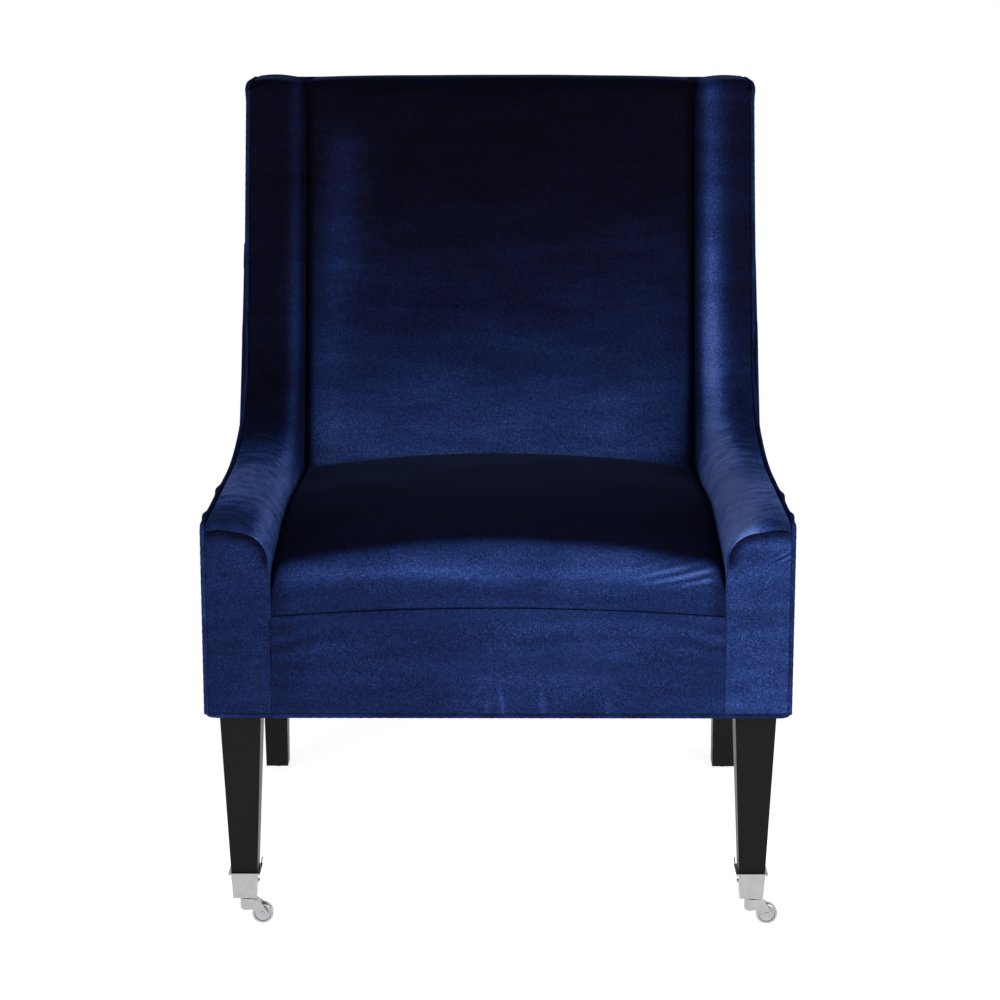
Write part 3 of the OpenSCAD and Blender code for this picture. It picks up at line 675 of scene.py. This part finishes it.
def make_inside_back():
    side_r, top_r, top_side_r = 0.015, 0.020, 0.006
    face_low = platform_z + 0.002
    x, sink = across_columns(seat_half, 0.0085, 0.036, 3)
    rows = []
    for z in spaced([[face_low, 0], [top_z - top_r, 0]], 0.0085)[:, 0]:
        y = back_face(x, z)
        depth = roll_in(x, seat_half, side_r) + sink
        rows.append(np.column_stack([x, y + depth * math.cos(inner_lean),
                                     z - depth * math.sin(inner_lean)]))
    for turn in np.linspace(0, math.pi / 2, 8)[1:]:
        r_side = side_r + (top_side_r - side_r) * turn / (math.pi / 2)
        depth = roll_in(x, seat_half, r_side) + sink * (1 - 0.6 * turn / (math.pi / 2))
        y = back_face(x, top_z - top_r) + top_r * (1 - math.cos(turn)) + depth * math.cos(turn)
        z = top_z - top_r + top_r * math.sin(turn) - depth * math.sin(turn)
        rows.append(np.column_stack([x, y, z]))
    start_y = rows[-1][:, 1]
    for share in np.linspace(0, 1, 13)[1:]:
        y = start_y + (rear_y - 0.0028 - start_y) * share
        z = rows[-1][:, 2] if share < 1 else rows[-1][:, 2] - 0.0015
        rows.append(np.column_stack([x, y, z]))
    rows = inside_the_back(np.array(rows))
    made = piece_from_rows("inside_back", rows)
    stuff(made, edge_mask(*rows.shape[:2], 4, 2, 5, 5), 3.0, 0.005)
    return refine(made)


inside_back = make_inside_back()
p = points_of(inside_back)
push(inside_back, 0.0007 * cloudy(p, 9.0, 3.1) * smooth(0.0, 0.05, inner_x - np.abs(p[:, 0])))
# Painted light and shade on the inside back: painted light on the lower part and in a band at three
# quarters of the height, painted highlights in a strip and a band on the left, and painted shade in the
# creases at both sides. The last term is random tone.
lower_back_painted_light = 0.68 * (1 - smooth(0.46, 0.84, p[:, 2])) ** 1.3 + 0.10 * hill(p[:, 2], 0.74, 0.08)
left_painted_highlight_strip = 0.07 * hill(p[:, 0], -0.221, 0.021) * (1 - smooth(0.80, 0.93, p[:, 2]))
left_painted_highlight_band = 0.24 * hill(p[:, 0], -0.205, 0.034)
left_painted_highlight_band *= smooth(0.62, 0.72, p[:, 2]) * (1 - smooth(0.86, 0.92, p[:, 2]))
# Painted shade in the deep creases beside the wings.
edges = 0.30 * smooth(0.242, 0.256, np.abs(p[:, 0]))
store(inside_back, "tone_and_painted_light", 0.02 + lower_back_painted_light + left_painted_highlight_strip + left_painted_highlight_band - edges + 0.05 * cloudy(p, 5.0, 7.7))
finish_cover(inside_back, ("inside_back_cover", "back_foam"))
print("inside back:", len(inside_back.data.vertices), "points")

# %% [markdown]
# ## The seat
# The seat is tight: its velvet goes over a crowned block of foam and is sewn to the front border. Seen
# from the side it is a nose at the front and a shallow crown. Every row across the seat follows that
# profile, the sides roll down between the arms, and the back edge turns down in front of the inside back.

# %% Shape of the seat
seat_fall = 0.034
seat_dip = 0.013
nose_r = 0.036
seam_bow = 0.010
seat_back_z = 0.468


def seam_at(x):
    return seam_z - seam_bow * (np.abs(x) / inner_x) ** 2


def make_seat():
    mid_y = (front_y + inner_at(seat_top_z)) / 2
    half_d = (inner_at(seat_top_z) - front_y) / 2
    end_y = back_face(0, seat_back_z) - 0.001
    nose_y = front_y + nose_r

    def crown(y):
        return seat_top_z - 0.003 - seat_dip * ((y - mid_y) / half_d) ** 2

    nose_z = crown(nose_y) - nose_r
    rear_r = 0.014
    profile = [(front_y + 0.030, platform_z + 0.001, -1, 0, 0), (front_y + 0.010, seam_z - 0.004, -1, 0, 0),
               (front_y + 0.0035, seam_z - 0.0005, -1, 0, 0), (front_y + 0.0008, seam_z + 0.0016, -1, 0, 0)]
    for share in np.linspace(0, 1, 9)[1:]:
        height = seam_z + 0.0016 + (nose_z - seam_z - 0.0016) * share
        profile.append((front_y - 0.0015 * math.sin(math.pi * share), height, -1, 0, share * 0.3))
    for turn in np.linspace(0, math.pi / 2, 9)[1:]:
        profile.append((nose_y - nose_r * math.cos(turn), nose_z + nose_r * math.sin(turn),
                        -math.cos(turn), math.sin(turn), 0.3 + 0.7 * turn / (math.pi / 2)))
    for y in spaced([[nose_y, 0], [end_y - rear_r, 0]], 0.0085)[1:, 0]:
        profile.append((y, crown(y), 0, 1, 1))
    for turn in np.linspace(0, math.pi / 2, 6)[1:]:
        profile.append((end_y - rear_r + rear_r * math.sin(turn),
                        crown(end_y - rear_r) - rear_r * (1 - math.cos(turn)), 0, 1, 1))
    low = profile[-1][1]
    for share in (0.25, 0.6, 1.0):
        profile.append((end_y, low + (platform_z + 0.001 - low) * share, 0, 1, 0.5))
    x, sink = across_columns(seat_half, 0.0085, 0.060, 4)
    rear_edge = back_face(x, seat_back_z) + 0.6 * roll_in(x, seat_half, 0.015)
    reach = (rear_edge - front_y) / (end_y + 0.001 - front_y)
    rows = []
    for y, z, ny, nz, top in profile:
        depth = roll_in(x, seat_half, 0.0014 + 0.0086 * top) + sink * (0.25 + 0.75 * top)
        lift = np.clip((z - seam_z) / (nose_z + nose_r * 0.7 - seam_z), 0, 1)
        depth_share = np.clip((y - front_y) / (end_y - front_y), 0, 1)
        bow = 1 - 0.42 * math.sin(math.pi * depth_share) - 0.26 * float(smooth(0.7, 1.0, depth_share))
        fall = seat_fall * bow * (x / seat_half) ** 2 * lift
        fall += (seam_z - seam_at(x)) * (1 - lift) * (z > platform_z + 0.01)
        stretch = 1 + (reach - 1) * smooth(0.1, 1.0, depth_share)
        row_y = front_y + (y - front_y) * stretch - depth * ny
        row_z = np.maximum(z - fall - depth * nz, platform_z + 0.001)
        rows.append(np.column_stack([x, row_y, row_z]))
    rows = np.array(rows)
    made = piece_from_rows("seat", rows)
    stuff(made, edge_mask(*rows.shape[:2], 5, 4, 5, 5), 4.0, 0.006)
    return refine(made)


seat = make_seat()
p = points_of(seat)
n = normals_of(seat)
in_front = p[:, 1] < front_y + 0.03
fold_mask = smooth(0.12, 0.20, p[:, 0]) * (1 - smooth(0.235, 0.252, p[:, 0])) * hill(p[:, 2], 0.430, 0.014)
folds = np.sin((p[:, 2] - 0.18 * p[:, 0]) * 2 * math.pi / 0.0095) * fold_mask * in_front
push(seat, 0.0009 * folds + 0.0008 * cloudy(p, 10.0, 5.2))
# Painted sheen and shade on the seat: the top is painted dark, a little lighter towards the front; parts
# that face forwards get painted sheen, strongest on the nose; the folds at the front get painted
# highlights; the ends of the front band get painted shade. The cloudy term is random tone.
facing = np.clip(-n[:, 1], 0, 1)
nose_top = np.clip((p[:, 2] - seam_z) / 0.05, 0, 1)
ragged = facing + 0.10 * cloudy(p, 22.0, 3.3)
seat_tone_and_painted_light = -0.03 + 0.19 * (1 - smooth(-0.36, -0.20, p[:, 1]))
seat_tone_and_painted_light += (0.355 + 0.20 * hill(nose_top, 0.85, 0.28)) * smooth(0.05, 0.75, ragged)
seat_tone_and_painted_light += 0.22 * fold_mask * in_front * (0.4 + folds)
seat_tone_and_painted_light -= 0.18 * smooth(0.232, 0.256, np.abs(p[:, 0])) * in_front
store(seat, "tone_and_painted_light", seat_tone_and_painted_light + 0.05 * cloudy(p, 6.0, 1.7))
finish_cover(seat, ("seat_cover", "seat_foam"))
print("seat:", len(seat.data.vertices), "points")

# %% [markdown]
# ## The arms and wings
# One long piece of velvet covers each side: it starts at the seam over the arm front, runs back along
# the arm, sweeps up the wing and goes over the top. Its cross-section starts beside the piping, crosses
# the narrow padded top, rounds the inner edge and goes down the inner face until the seat or the back
# hides it. So it is swept along the arm line. At the front the section shrinks as it turns over the edge.

# %% Shape of an arm
fold_r = 0.010
side_top_r = 0.024
# Painted highlights brighter than this are rolled off.
painted_light_limit = 0.80


def arm_section(share):
    """Width, depth, and inward direction of the section's points from the piping to the inner rounding."""
    r = 0.042 - 0.022 * float(smooth(0.20, 0.60, share))
    outer = wrap_x - 0.0006
    wide = outer - (inner_x + r)
    crown = 0.0022
    points = [(wrap_x, 0.0050, 0, 1), (wrap_x, 0.0018, 0, 1)]
    for t in np.linspace(0, 1, 9):
        points.append((outer - wide * t, -crown * (1 - (2 * t - 1) ** 2) - 0.0006 * (1 - t), 0, 1))
    for turn in np.linspace(0, math.pi / 2, 8)[1:]:
        points.append((inner_x + r - r * math.sin(turn), r - r * math.cos(turn),
                       math.sin(turn), math.cos(turn)))
    return np.array(points)


def make_arm(name, side):
    line = np.vstack([arm_line(0, fold_r, side_top_r), [[rear_y - 0.0028, top_z]]])
    line = spaced(line, 0.0048)
    heading = np.gradient(line, axis=0)
    heading /= np.linalg.norm(heading, axis=1)[:, None]
    run = run_of(line)
    total = run[-1]
    marks = [0, 0.30, 0.47, 0.62, 0.86, 0.92, 1.0]
    hidden_y = [line[0, 0], 0.060, 0.135, 0.185, 0.268, 0.292, rear_y - 0.010]
    hidden_z = [seam_at(inner_x) - 0.004, 0.392, 0.410, 0.520, 0.800, 0.880, 0.890]
    inner_count = 9
    rows = []
    runs = []
    for turn in np.linspace(math.pi / 2, 0, 8)[:-1]:
        section = arm_section(0)
        shrink = fold_r * (1 - math.cos(turn))
        weight = 1 - 0.85 * section[:, 2] ** 2
        x = section[:, 0] + section[:, 2] * shrink * weight
        z = arm_z - section[:, 1] - section[:, 3] * shrink * weight
        y = np.full(len(x), front_y + fold_r * (1 - math.sin(turn)))
        inner_z = np.linspace(z[-1], hidden_z[0], inner_count + 1)[1:]
        rows.append(np.column_stack([np.concatenate([x, np.full(inner_count, x[-1])]),
                                     np.concatenate([y, np.full(inner_count, y[0])]),
                                     np.concatenate([z, inner_z])]))
        runs.append(-fold_r * turn)
    for (y, z), (ty, tz), s in zip(line, heading, run):
        section = arm_section(s / total)
        top = np.column_stack([section[:, 0], y + section[:, 1] * tz, z - section[:, 1] * ty])
        end = np.array([inner_x] + [np.interp(s / total, marks, hidden) for hidden in (hidden_y, hidden_z)])
        down = np.linspace(0, 1, inner_count + 1)[1:, None]
        rows.append(np.vstack([top, top[-1] + (end - top[-1]) * down]))
        runs.append(s)
    tuck = rows[0].copy()
    tuck[:, 1] += 0.004
    rows = inside_the_back(np.array([tuck] + rows))
    runs = np.array([runs[0]] + runs)
    rows[:, :, 0] *= side
    if side < 0:
        rows = rows[:, ::-1]
    made = piece_from_rows(name, rows[:, ::-1])
    columns = rows.shape[1]
    store(made, "run", np.repeat(runs, columns))
    held = edge_mask(len(rows), columns, 3, 2, 0, 0).reshape(len(rows), columns)
    if side > 0:
        held[:, :7] = True
        held[:, -3:] = True
    else:
        held[:, :3] = True
        held[:, -7:] = True
    stuff(made, held.ravel(), 3.0, 0.004)
    return refine(made), total


def creases(points, seed):
    """Thin raised lines that wander, and shallow hollows between them."""
    return np.clip(1 - 4.5 * np.abs(cloudy(points, 1.0, seed)), -0.6, 1)


def arm_details(arm, side, total):
    """Ripples across the sweep, where the velvet is pushed together, and the painted sheen and shade over
    the arm.
    """
    p = points_of(arm)
    n = normals_of(arm)
    run = stored(arm, "run") / total
    out = np.abs(p[:, 0])
    on_top = smooth(0.262, 0.285, out) * (1 - smooth(0.322, 0.329, out))
    along = run * total
    front_painted_sheen_mask = 1 - smooth(0.30, 0.52, run)
    front_folds = hill(run, 0.13, 0.07) * smooth(0.285, 0.305, out) * on_top
    sweep_folds = hill(run, 0.35, 0.07) * on_top
    wander = cloudy(p, 16.0, 4.0 + side)
    bowed = along + 8 * (out - 0.295) ** 2 + 0.004 * wander
    flat = np.column_stack([p[:, 0] * 12, bowed * 72, np.zeros(len(p))])
    wide_creases = creases(flat, 4.0 + side)
    fine_creases = creases(flat * 1.7, 9.0 + side)
    folds = wide_creases * front_folds + 0.6 * fine_creases * sweep_folds
    push(arm, 0.0015 * folds + 0.0009 * cloudy(p, 13.0, 2.0 + side) * on_top)
    # Painted sheen and shade on the arm and wing: a painted highlight strip near the inner edge, painted
    # light over the front of the arm with a painted highlight on its sweep, painted highlights on the
    # ripples, painted light low on the inner face and painted shade high on it, and painted shade on the
    # fold at the arm front. The cloudy terms are random tone and pile texture.
    inward = np.clip(-n[:, 0] * side, 0, 1)
    if side > 0:
        tone_and_painted_light = 0.18 + 0.66 * hill(out, 0.276, 0.020) * (1 - 0.30 * smooth(0.62, 0.92, p[:, 2]))
        tone_and_painted_light += 0.16 * hill(p[:, 2], 0.58, 0.09) * smooth(0.258, 0.27, out)
        base, highlight_strength, highlight_at, fold_painted_shade = 0.47, 0.34, 0.14, 0.26
    else:
        tone_and_painted_light = 0.08 + 0.40 * hill(out, 0.268, 0.010) * (1 - 0.3 * smooth(0.7, 0.92, p[:, 2]))
        base, highlight_strength, highlight_at, fold_painted_shade = 0.44, 0.50, 0.21, 0.04
    painted_highlight = hill(run, highlight_at, 0.13) * smooth(0.262, 0.290, out)
    tone_and_painted_light += front_painted_sheen_mask * (base + highlight_strength * painted_highlight) + 0.20 * folds
    tone_and_painted_light += 0.12 * inward * (1 - smooth(0.44, 0.56, p[:, 2])) * (p[:, 1] < 0.16)
    tone_and_painted_light -= 0.12 * inward * smooth(0.6, 0.8, p[:, 2])
    tone_and_painted_light -= fold_painted_shade * (1 - smooth(-0.012, 0.006, run))
    tone_and_painted_light = np.where(tone_and_painted_light < painted_light_limit, tone_and_painted_light, painted_light_limit + 0.40 * (1 - np.exp(-(tone_and_painted_light - painted_light_limit) / 0.40)))
    tone_and_painted_light += 0.06 * cloudy(p, 7.0, 5.0 + side) + 0.12 * front_painted_sheen_mask * cloudy(p, 70.0, 2.0 + side)
    store(arm, "tone_and_painted_light", tone_and_painted_light)


sides = (("left", -1), ("right", 1))
for name, side in sides:
    arm, arm_total = make_arm(name + "_arm", side)
    arm_details(arm, side, arm_total)
    finish_cover(arm, (name + "_inside_arm_cover", name + "_arm_foam"))
    print(arm.name + ":", len(arm.data.vertices), "points")

# %% [markdown]
# ## Flat panels
# The border under the seat, the arm fronts, the outside of each side and the outside back are flat
# panels over board or a tight lining. Each is filled in between four edges. Its edges sink a little, as
# at a seam, and its middle stands out by one or two millimetres.

# %% A panel between four edges
def panel(name, bottom, top, left, right, step, outward, belly, tuck=0.0010):
    """A panel with sunk edges: belly is how far its middle stands out."""
    columns = max(4, int(max(run_of(bottom)[-1], run_of(top)[-1]) / step))
    rows = max(4, int(max(run_of(left)[-1], run_of(right)[-1]) / step))
    tall, wide = rows * step, columns * step
    rim = 0.0018
    v = edged(rows, rim / tall)
    u = edged(columns, rim / wide)
    grid = between(bottom, top, left, right, v, u)
    i = np.minimum(v, 1 - v)[:, None] * tall
    j = np.minimum(u, 1 - u)[None, :] * wide
    inset = np.minimum(i, j)
    rise = belly * np.minimum(1, i / 0.08) * np.minimum(1, j / 0.05)
    rise -= tuck * (1 - smooth(0, 0.0035, inset))
    grid = grid + rise[:, :, None] * np.asarray(outward, float)
    made = piece_from_rows(name, grid)
    if np.dot(normals_of(made).mean(axis=0), outward) < 0:
        made.data.flip_normals()
    return made


# %% Front border
low_z = base_z + welt
x_end = seat_half
across = np.linspace(-x_end, x_end, 40)
along_bottom = np.column_stack([across, np.full(40, front_y), np.full(40, low_z)])
along_seam = np.column_stack([across, np.full(40, front_y), seam_at(across) - 0.0004])
border = panel("front_border_panel", along_bottom, along_seam, [along_bottom[0], along_seam[0]],
               [along_bottom[-1], along_seam[-1]], 0.006, (0, -1, 0), 0.0015)
refine(border)
p = points_of(border)
up = p[:, 2] - low_z
pulls = np.zeros(len(p))
for x, height, size in ((0.006, 0.045, 0.9), (0.052, 0.038, 0.8), (-0.012, 0.030, 0.5),
                        (0.125, 0.026, 0.4)):
    pulls += size * hill(p[:, 0] + 0.12 * up, x, 0.0030) * (1 - smooth(0.2, 1.0, up / height))
for side in (-1, 1):
    slant = p[:, 2] - (0.350 + 0.22 * (0.258 - side * p[:, 0]))
    corner_folds = np.sin(slant * 2 * math.pi / 0.022) * hill(slant, 0, 0.022)
    pulls += 0.45 * corner_folds * smooth(0.17, 0.25, side * p[:, 0])
inner = smooth(0.0, 0.010, np.minimum(up, x_end - np.abs(p[:, 0])))
push(border, (0.0016 * pulls + 0.0006 * cloudy(p, 12.0, 8.0)) * inner)
# Painted light on the border: lighter towards the right, painted shade at the left end, and painted
# highlights on the pulls and folds. The cloudy term is random tone.
store(border, "tone_and_painted_light", 0.50 + 0.07 * smooth(-0.25, 0.25, p[:, 0]) - 0.09 * smooth(0.20, 0.255, -p[:, 0])
      + 0.20 * pulls + 0.05 * cloudy(p, 7.0, 6.1))
finish_cover(border, ("front_border", "front_pad"), 0.0018)

# %% Arm fronts
section = arm_section(0)
keep = 1 - 0.85 * section[:, 2] ** 2
seam_x = section[:, 0] + section[:, 2] * fold_r * keep
seam_h = arm_z - section[:, 1] - section[:, 3] * fold_r * keep
over_top = np.column_stack([seam_x[2:], np.full(len(seam_x) - 2, front_y), seam_h[2:] - 0.0005])[::-1]
under_cord = 0.0014
facing_x = inner_x + 0.0002
over_top = np.vstack([over_top, over_top[-1] + (under_cord, 0, 0)])
for name, side in sides:
    turned = over_top * (side, 1, 1)
    inner_low = (side * facing_x, front_y, low_z)
    inner_mid = (side * facing_x, front_y, over_top[0, 2] - 0.020)
    outer_low = (turned[-1, 0], front_y, low_z)
    made = panel(name + "_arm_front", [inner_low, outer_low], turned, [inner_low, inner_mid, turned[0]],
                 [outer_low, turned[-1]], 0.0045, (0, -1, 0), 0.0020)
    refine(made)
    p = points_of(made)
    out = side * p[:, 0]
    crease = np.sin((p[:, 2] - 0.5 * out) * 2 * math.pi / 0.007) * hill(p[:, 2], 0.452, 0.006)
    crease = crease * smooth(0.300, 0.315, out) * (side > 0)
    push(made, 0.0005 * crease + 0.0006 * cloudy(p, 13.0, 3.0 + side) * smooth(0, 0.01, 0.329 - out))
    fold_line = spaced(turned[:, [0, 2]], 0.001)
    to_fold = [np.linalg.norm(fold_line - place, axis=1).min() for place in p[:, [0, 2]]]
    # Painted shadow under the overhanging fold of the arm's velvet; the right arm front is painted lighter
    # than the left, and the creases get painted highlights.
    painted_shadow_under_fold = hill(to_fold, 0, 0.0075)
    store(made, "tone_and_painted_light", (0.68 if side > 0 else 0.48) - 0.42 * painted_shadow_under_fold + 0.20 * crease
          + 0.06 * cloudy(p, 8.0, 2.6 + side))
    finish_cover(made, (name + "_arm_facing",), 0.0018)

# %% Outsides of the two sides
inset = welt - 0.0014
rear = [(rear_at(z) - 0.0008, z) for z in np.linspace(low_z, top_z - inset, 60)]
top = np.vstack([arm_line(inset, fold_r, side_top_r), [rear[-1]]])
top[0, 0] = front_y + inset
front_low = (front_y + inset, low_z)


def at_width(x, line):
    """A line of the side view, at the width x."""
    return [(x, y, z) for y, z in line]


for name, side in sides:
    x = side * (half_width - 0.0002)
    made = panel(name + "_outside_panel", at_width(x, [front_low, rear[0]]), at_width(x, top),
                 at_width(x, [front_low, top[0]]), at_width(x, rear), 0.008, (side, 0, 0), 0.0012)
    refine(made)
    p = points_of(made)
    push(made, 0.0004 * cloudy(p, 6.0, 4.0 + side))
    store(made, "tone_and_painted_light", 0.40 + 0.12 * smooth(0.9, 0.3, p[:, 2]) + 0.10 * cloudy(p, 4.0, 8.4 + side))
    finish_cover(made, (name + "_outside_cover",), 0.0016)

# %% Outside back
x_end = half_width - skin - 0.0002
heights = np.linspace(low_z, top_z - 0.0006, 80)
edge = [(rear_at(z) - 0.0002, z) for z in heights]
low_y, high_y = rear_at(heights[0]), rear_at(heights[-1])
outside_back = panel("outside_back_panel", [(-x_end, low_y, heights[0]), (x_end, low_y, heights[0])],
                     [(-x_end, high_y, heights[-1]), (x_end, high_y, heights[-1])],
                     at_width(-x_end, edge), at_width(x_end, edge), 0.008, (0, 1, 0), 0.0010)
refine(outside_back)
p = points_of(outside_back)
push(outside_back, 0.0005 * cloudy(p, 5.0, 1.4))
store(outside_back, "tone_and_painted_light", 0.42 + 0.10 * smooth(0.9, 0.4, p[:, 2]) + 0.12 * cloudy(p, 3.5, 3.9))
finish_cover(outside_back, ("outside_back_cover",), 0.0016)

# %% [markdown]
# ## Piping
# Piping is a cord in a bias-cut strip of the same velvet. It is sewn into the seam up each front corner,
# over the arm and up the wing, and another one goes round the bottom edge. It is a tube along the seam.
# The strip gathers a little, so the tube's thickness varies by about a tenth of a millimetre, and the
# piping steps outwards by two millimetres where the velvet bunches in front of the sweep.

# %% A cord along a line
def cord_along(name, line, radius, closed=False, sides=12, gather=0.00009, seed=0.0):
    """A tube along points in space, slightly gathered."""
    line = np.asarray(line, float)
    if closed:
        heading = np.roll(line, -1, axis=0) - np.roll(line, 1, axis=0)
    else:
        heading = np.gradient(line, axis=0)
    heading /= np.linalg.norm(heading, axis=1)[:, None]
    run = run_of(line)
    rows = []
    side_way = np.array([1.0, 0, 0]) if not closed else np.array([0, 0, 1.0])
    for point, ahead, s in zip(line, heading, run):
        first = side_way - ahead * side_way.dot(ahead)
        first /= np.linalg.norm(first)
        second = np.cross(ahead, first)
        ring = []
        for k in range(sides):
            a = 2 * math.pi * k / sides
            pucker = math.sin(s * 2 * math.pi / 0.0115 + 2 * a + seed)
            pucker += 0.6 * math.sin(s * 2 * math.pi / 0.0071 - a)
            r = radius + gather * (pucker - 1.2)
            ring.append(point + (first * math.cos(a) + second * math.sin(a)) * r)
        rows.append(ring)
    made = piece_from_rows(name, rows, close_rows=closed, close_columns=True)
    shape = bmesh.new()
    shape.from_mesh(made.data)
    if not closed:
        bmesh.ops.holes_fill(shape, edges=[e for e in shape.edges if e.is_boundary], sides=0)
    bmesh.ops.recalc_face_normals(shape, faces=shape.faces)
    shape.to_mesh(made.data)
    shape.free()
    made.data.polygons.foreach_set("use_smooth", [True] * len(made.data.polygons))
    made.data.materials.append(velvet.material)
    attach(made, "chair")
    return made


# %% Piping of the sides
cord_r = welt / 2 + 0.0001
cord_step = 0.0022
inset = welt / 2
corner = arc((front_y + fold_r, arm_z - fold_r), fold_r - inset, math.pi, math.pi / 2, 8)
seam_line = np.vstack([[[front_y + inset, low_z - 0.001]], corner, arm_line(inset, fold_r, side_top_r)[1:],
                       [[rear_at(top_z - inset) - 0.004, top_z - inset]]])
for name, side in sides:
    line = spaced(seam_line, cord_step)
    x = np.full(len(line), side * (half_width - inset + 0.0004))
    at = np.arange(len(line)) * cord_step
    bumps = hill(line[:, 0], -0.325, 0.016) + hill(line[:, 0], -0.215 + 0.03 * (side < 0), 0.020)
    bumps *= line[:, 1] > 0.48
    x += side * 0.0022 * bumps
    line[:, 1] += 0.0012 * bumps
    ear = hill(at, at[-1] - 0.112, 0.010)
    x += side * 0.0014 * ear
    line[:, 1] += 0.0016 * ear
    made = cord_along(name + "_piping_cord", np.column_stack([x, line]), cord_r, seed=side)
    p = points_of(made)
    # Painted light on the piping up the front corners; the cloudy term is random tone.
    store(made, "tone_and_painted_light", 0.46 + 0.12 * cloudy(p, 40.0, side) + 0.1 * (p[:, 1] < front_y + 0.008))
    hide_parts(name + "_piping")

# %% Piping of the bottom edge
r = welt / 2
bend_r = 0.012
bend_x = half_width - r - bend_r
front_bend_y = front_y + r + bend_r
rear_bend_y = knee_y - r - bend_r
ring = []
for cx, cy, start in ((bend_x, front_bend_y, -90), (bend_x, rear_bend_y, 0),
                      (-bend_x, rear_bend_y, 90), (-bend_x, front_bend_y, 180)):
    for step in range(7):
        a = math.radians(start + 15 * step)
        ring.append((cx + bend_r * math.cos(a), cy + bend_r * math.sin(a), base_z + r))
ring.append(ring[0])
ring = spaced(ring, 0.0025)[:-1]
bottom_cord = cord_along("bottom_welt_cord", ring, cord_r, closed=True)
p = points_of(bottom_cord)
store(bottom_cord, "tone_and_painted_light", 0.50 + 0.12 * cloudy(p, 40.0, 3.0))
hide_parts("bottom_welt")
print("piping made")

# %% [markdown]
# ## The dust cloth
# Under the chair a thin black cloth is stapled from rail to rail, cut out round the legs. It sags by a
# millimetre or two in the middle. It is a fine grid with the squares at the legs left out.

# %% Dust cloth
def make_dust_cloth():
    low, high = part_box("dust_cover")
    legs = [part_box(side + end + "_leg") for end in ("_front", "_rear") for side in ("left", "right")]
    ease = 0.001
    stops_x = {v for a, b in legs for v in (a.x - ease, b.x + ease)}
    stops_y = {v for a, b in legs for v in (a.y - ease, b.y + ease) if low.y < v < high.y}

    def fine(stops):
        values = [stops[0]]
        for a, b in zip(stops, stops[1:]):
            values += list(np.linspace(a, b, max(1, int((b - a) / 0.012)) + 1)[1:])
        return values

    xs = fine(sorted(stops_x | {low.x, high.x}))
    ys = fine(sorted(stops_y | {low.y, high.y}))
    thick, sag = 0.0010, 0.0022
    grid = [[(x, y, high.z - thick - 0.0002 - sag * math.cos(math.pi * x / (high.x - low.x))
              * math.sin(math.pi * (y - low.y) / (high.y - low.y))) for y in ys] for x in xs]
    made = piece_from_rows("dust_cloth", grid)
    shape = bmesh.new()
    shape.from_mesh(made.data)
    cut = []
    for face in shape.faces:
        middle = face.calc_center_median()
        if any(a.x - ease < middle.x < b.x + ease and a.y - ease < middle.y < b.y + ease for a, b in legs):
            cut.append(face)
    bmesh.ops.delete(shape, geom=cut, context="FACES")
    shape.to_mesh(made.data)
    shape.free()
    thicken(made, thick)
    made.data.materials.append(finishes["dust_cloth"])
    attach(made, "chair")
    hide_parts("dust_cover")


make_dust_cloth()

# %% [markdown]
# ## Softened edges
# A sawn or cast edge is never quite sharp. The legs and the castors keep their CAD shape, and a narrow
# bevel on their edges catches the light as a rubbed edge does.

# %% Bevels on the hard parts
edge_widths = {"front_leg": 0.0012, "rear_leg": 0.0012, "castor_cup": 0.0004, "castor_fork": 0.0003,
               "castor_wheel": 0.0006, "castor_pintle": 0.0002, "castor_axle": 0.0002, "rear_glide": 0.0003}
for name, part in frame["nodes"].items():
    for ending, width in edge_widths.items():
        if name.endswith(ending):
            bevel = part.modifiers.new("rubbed_edge", "BEVEL")
            bevel.width = width
            bevel.segments = 2
            bevel.limit_method = "ANGLE"
            bevel.angle_limit = math.radians(35)
print("edges rubbed on", len(edge_widths), "kinds of part")
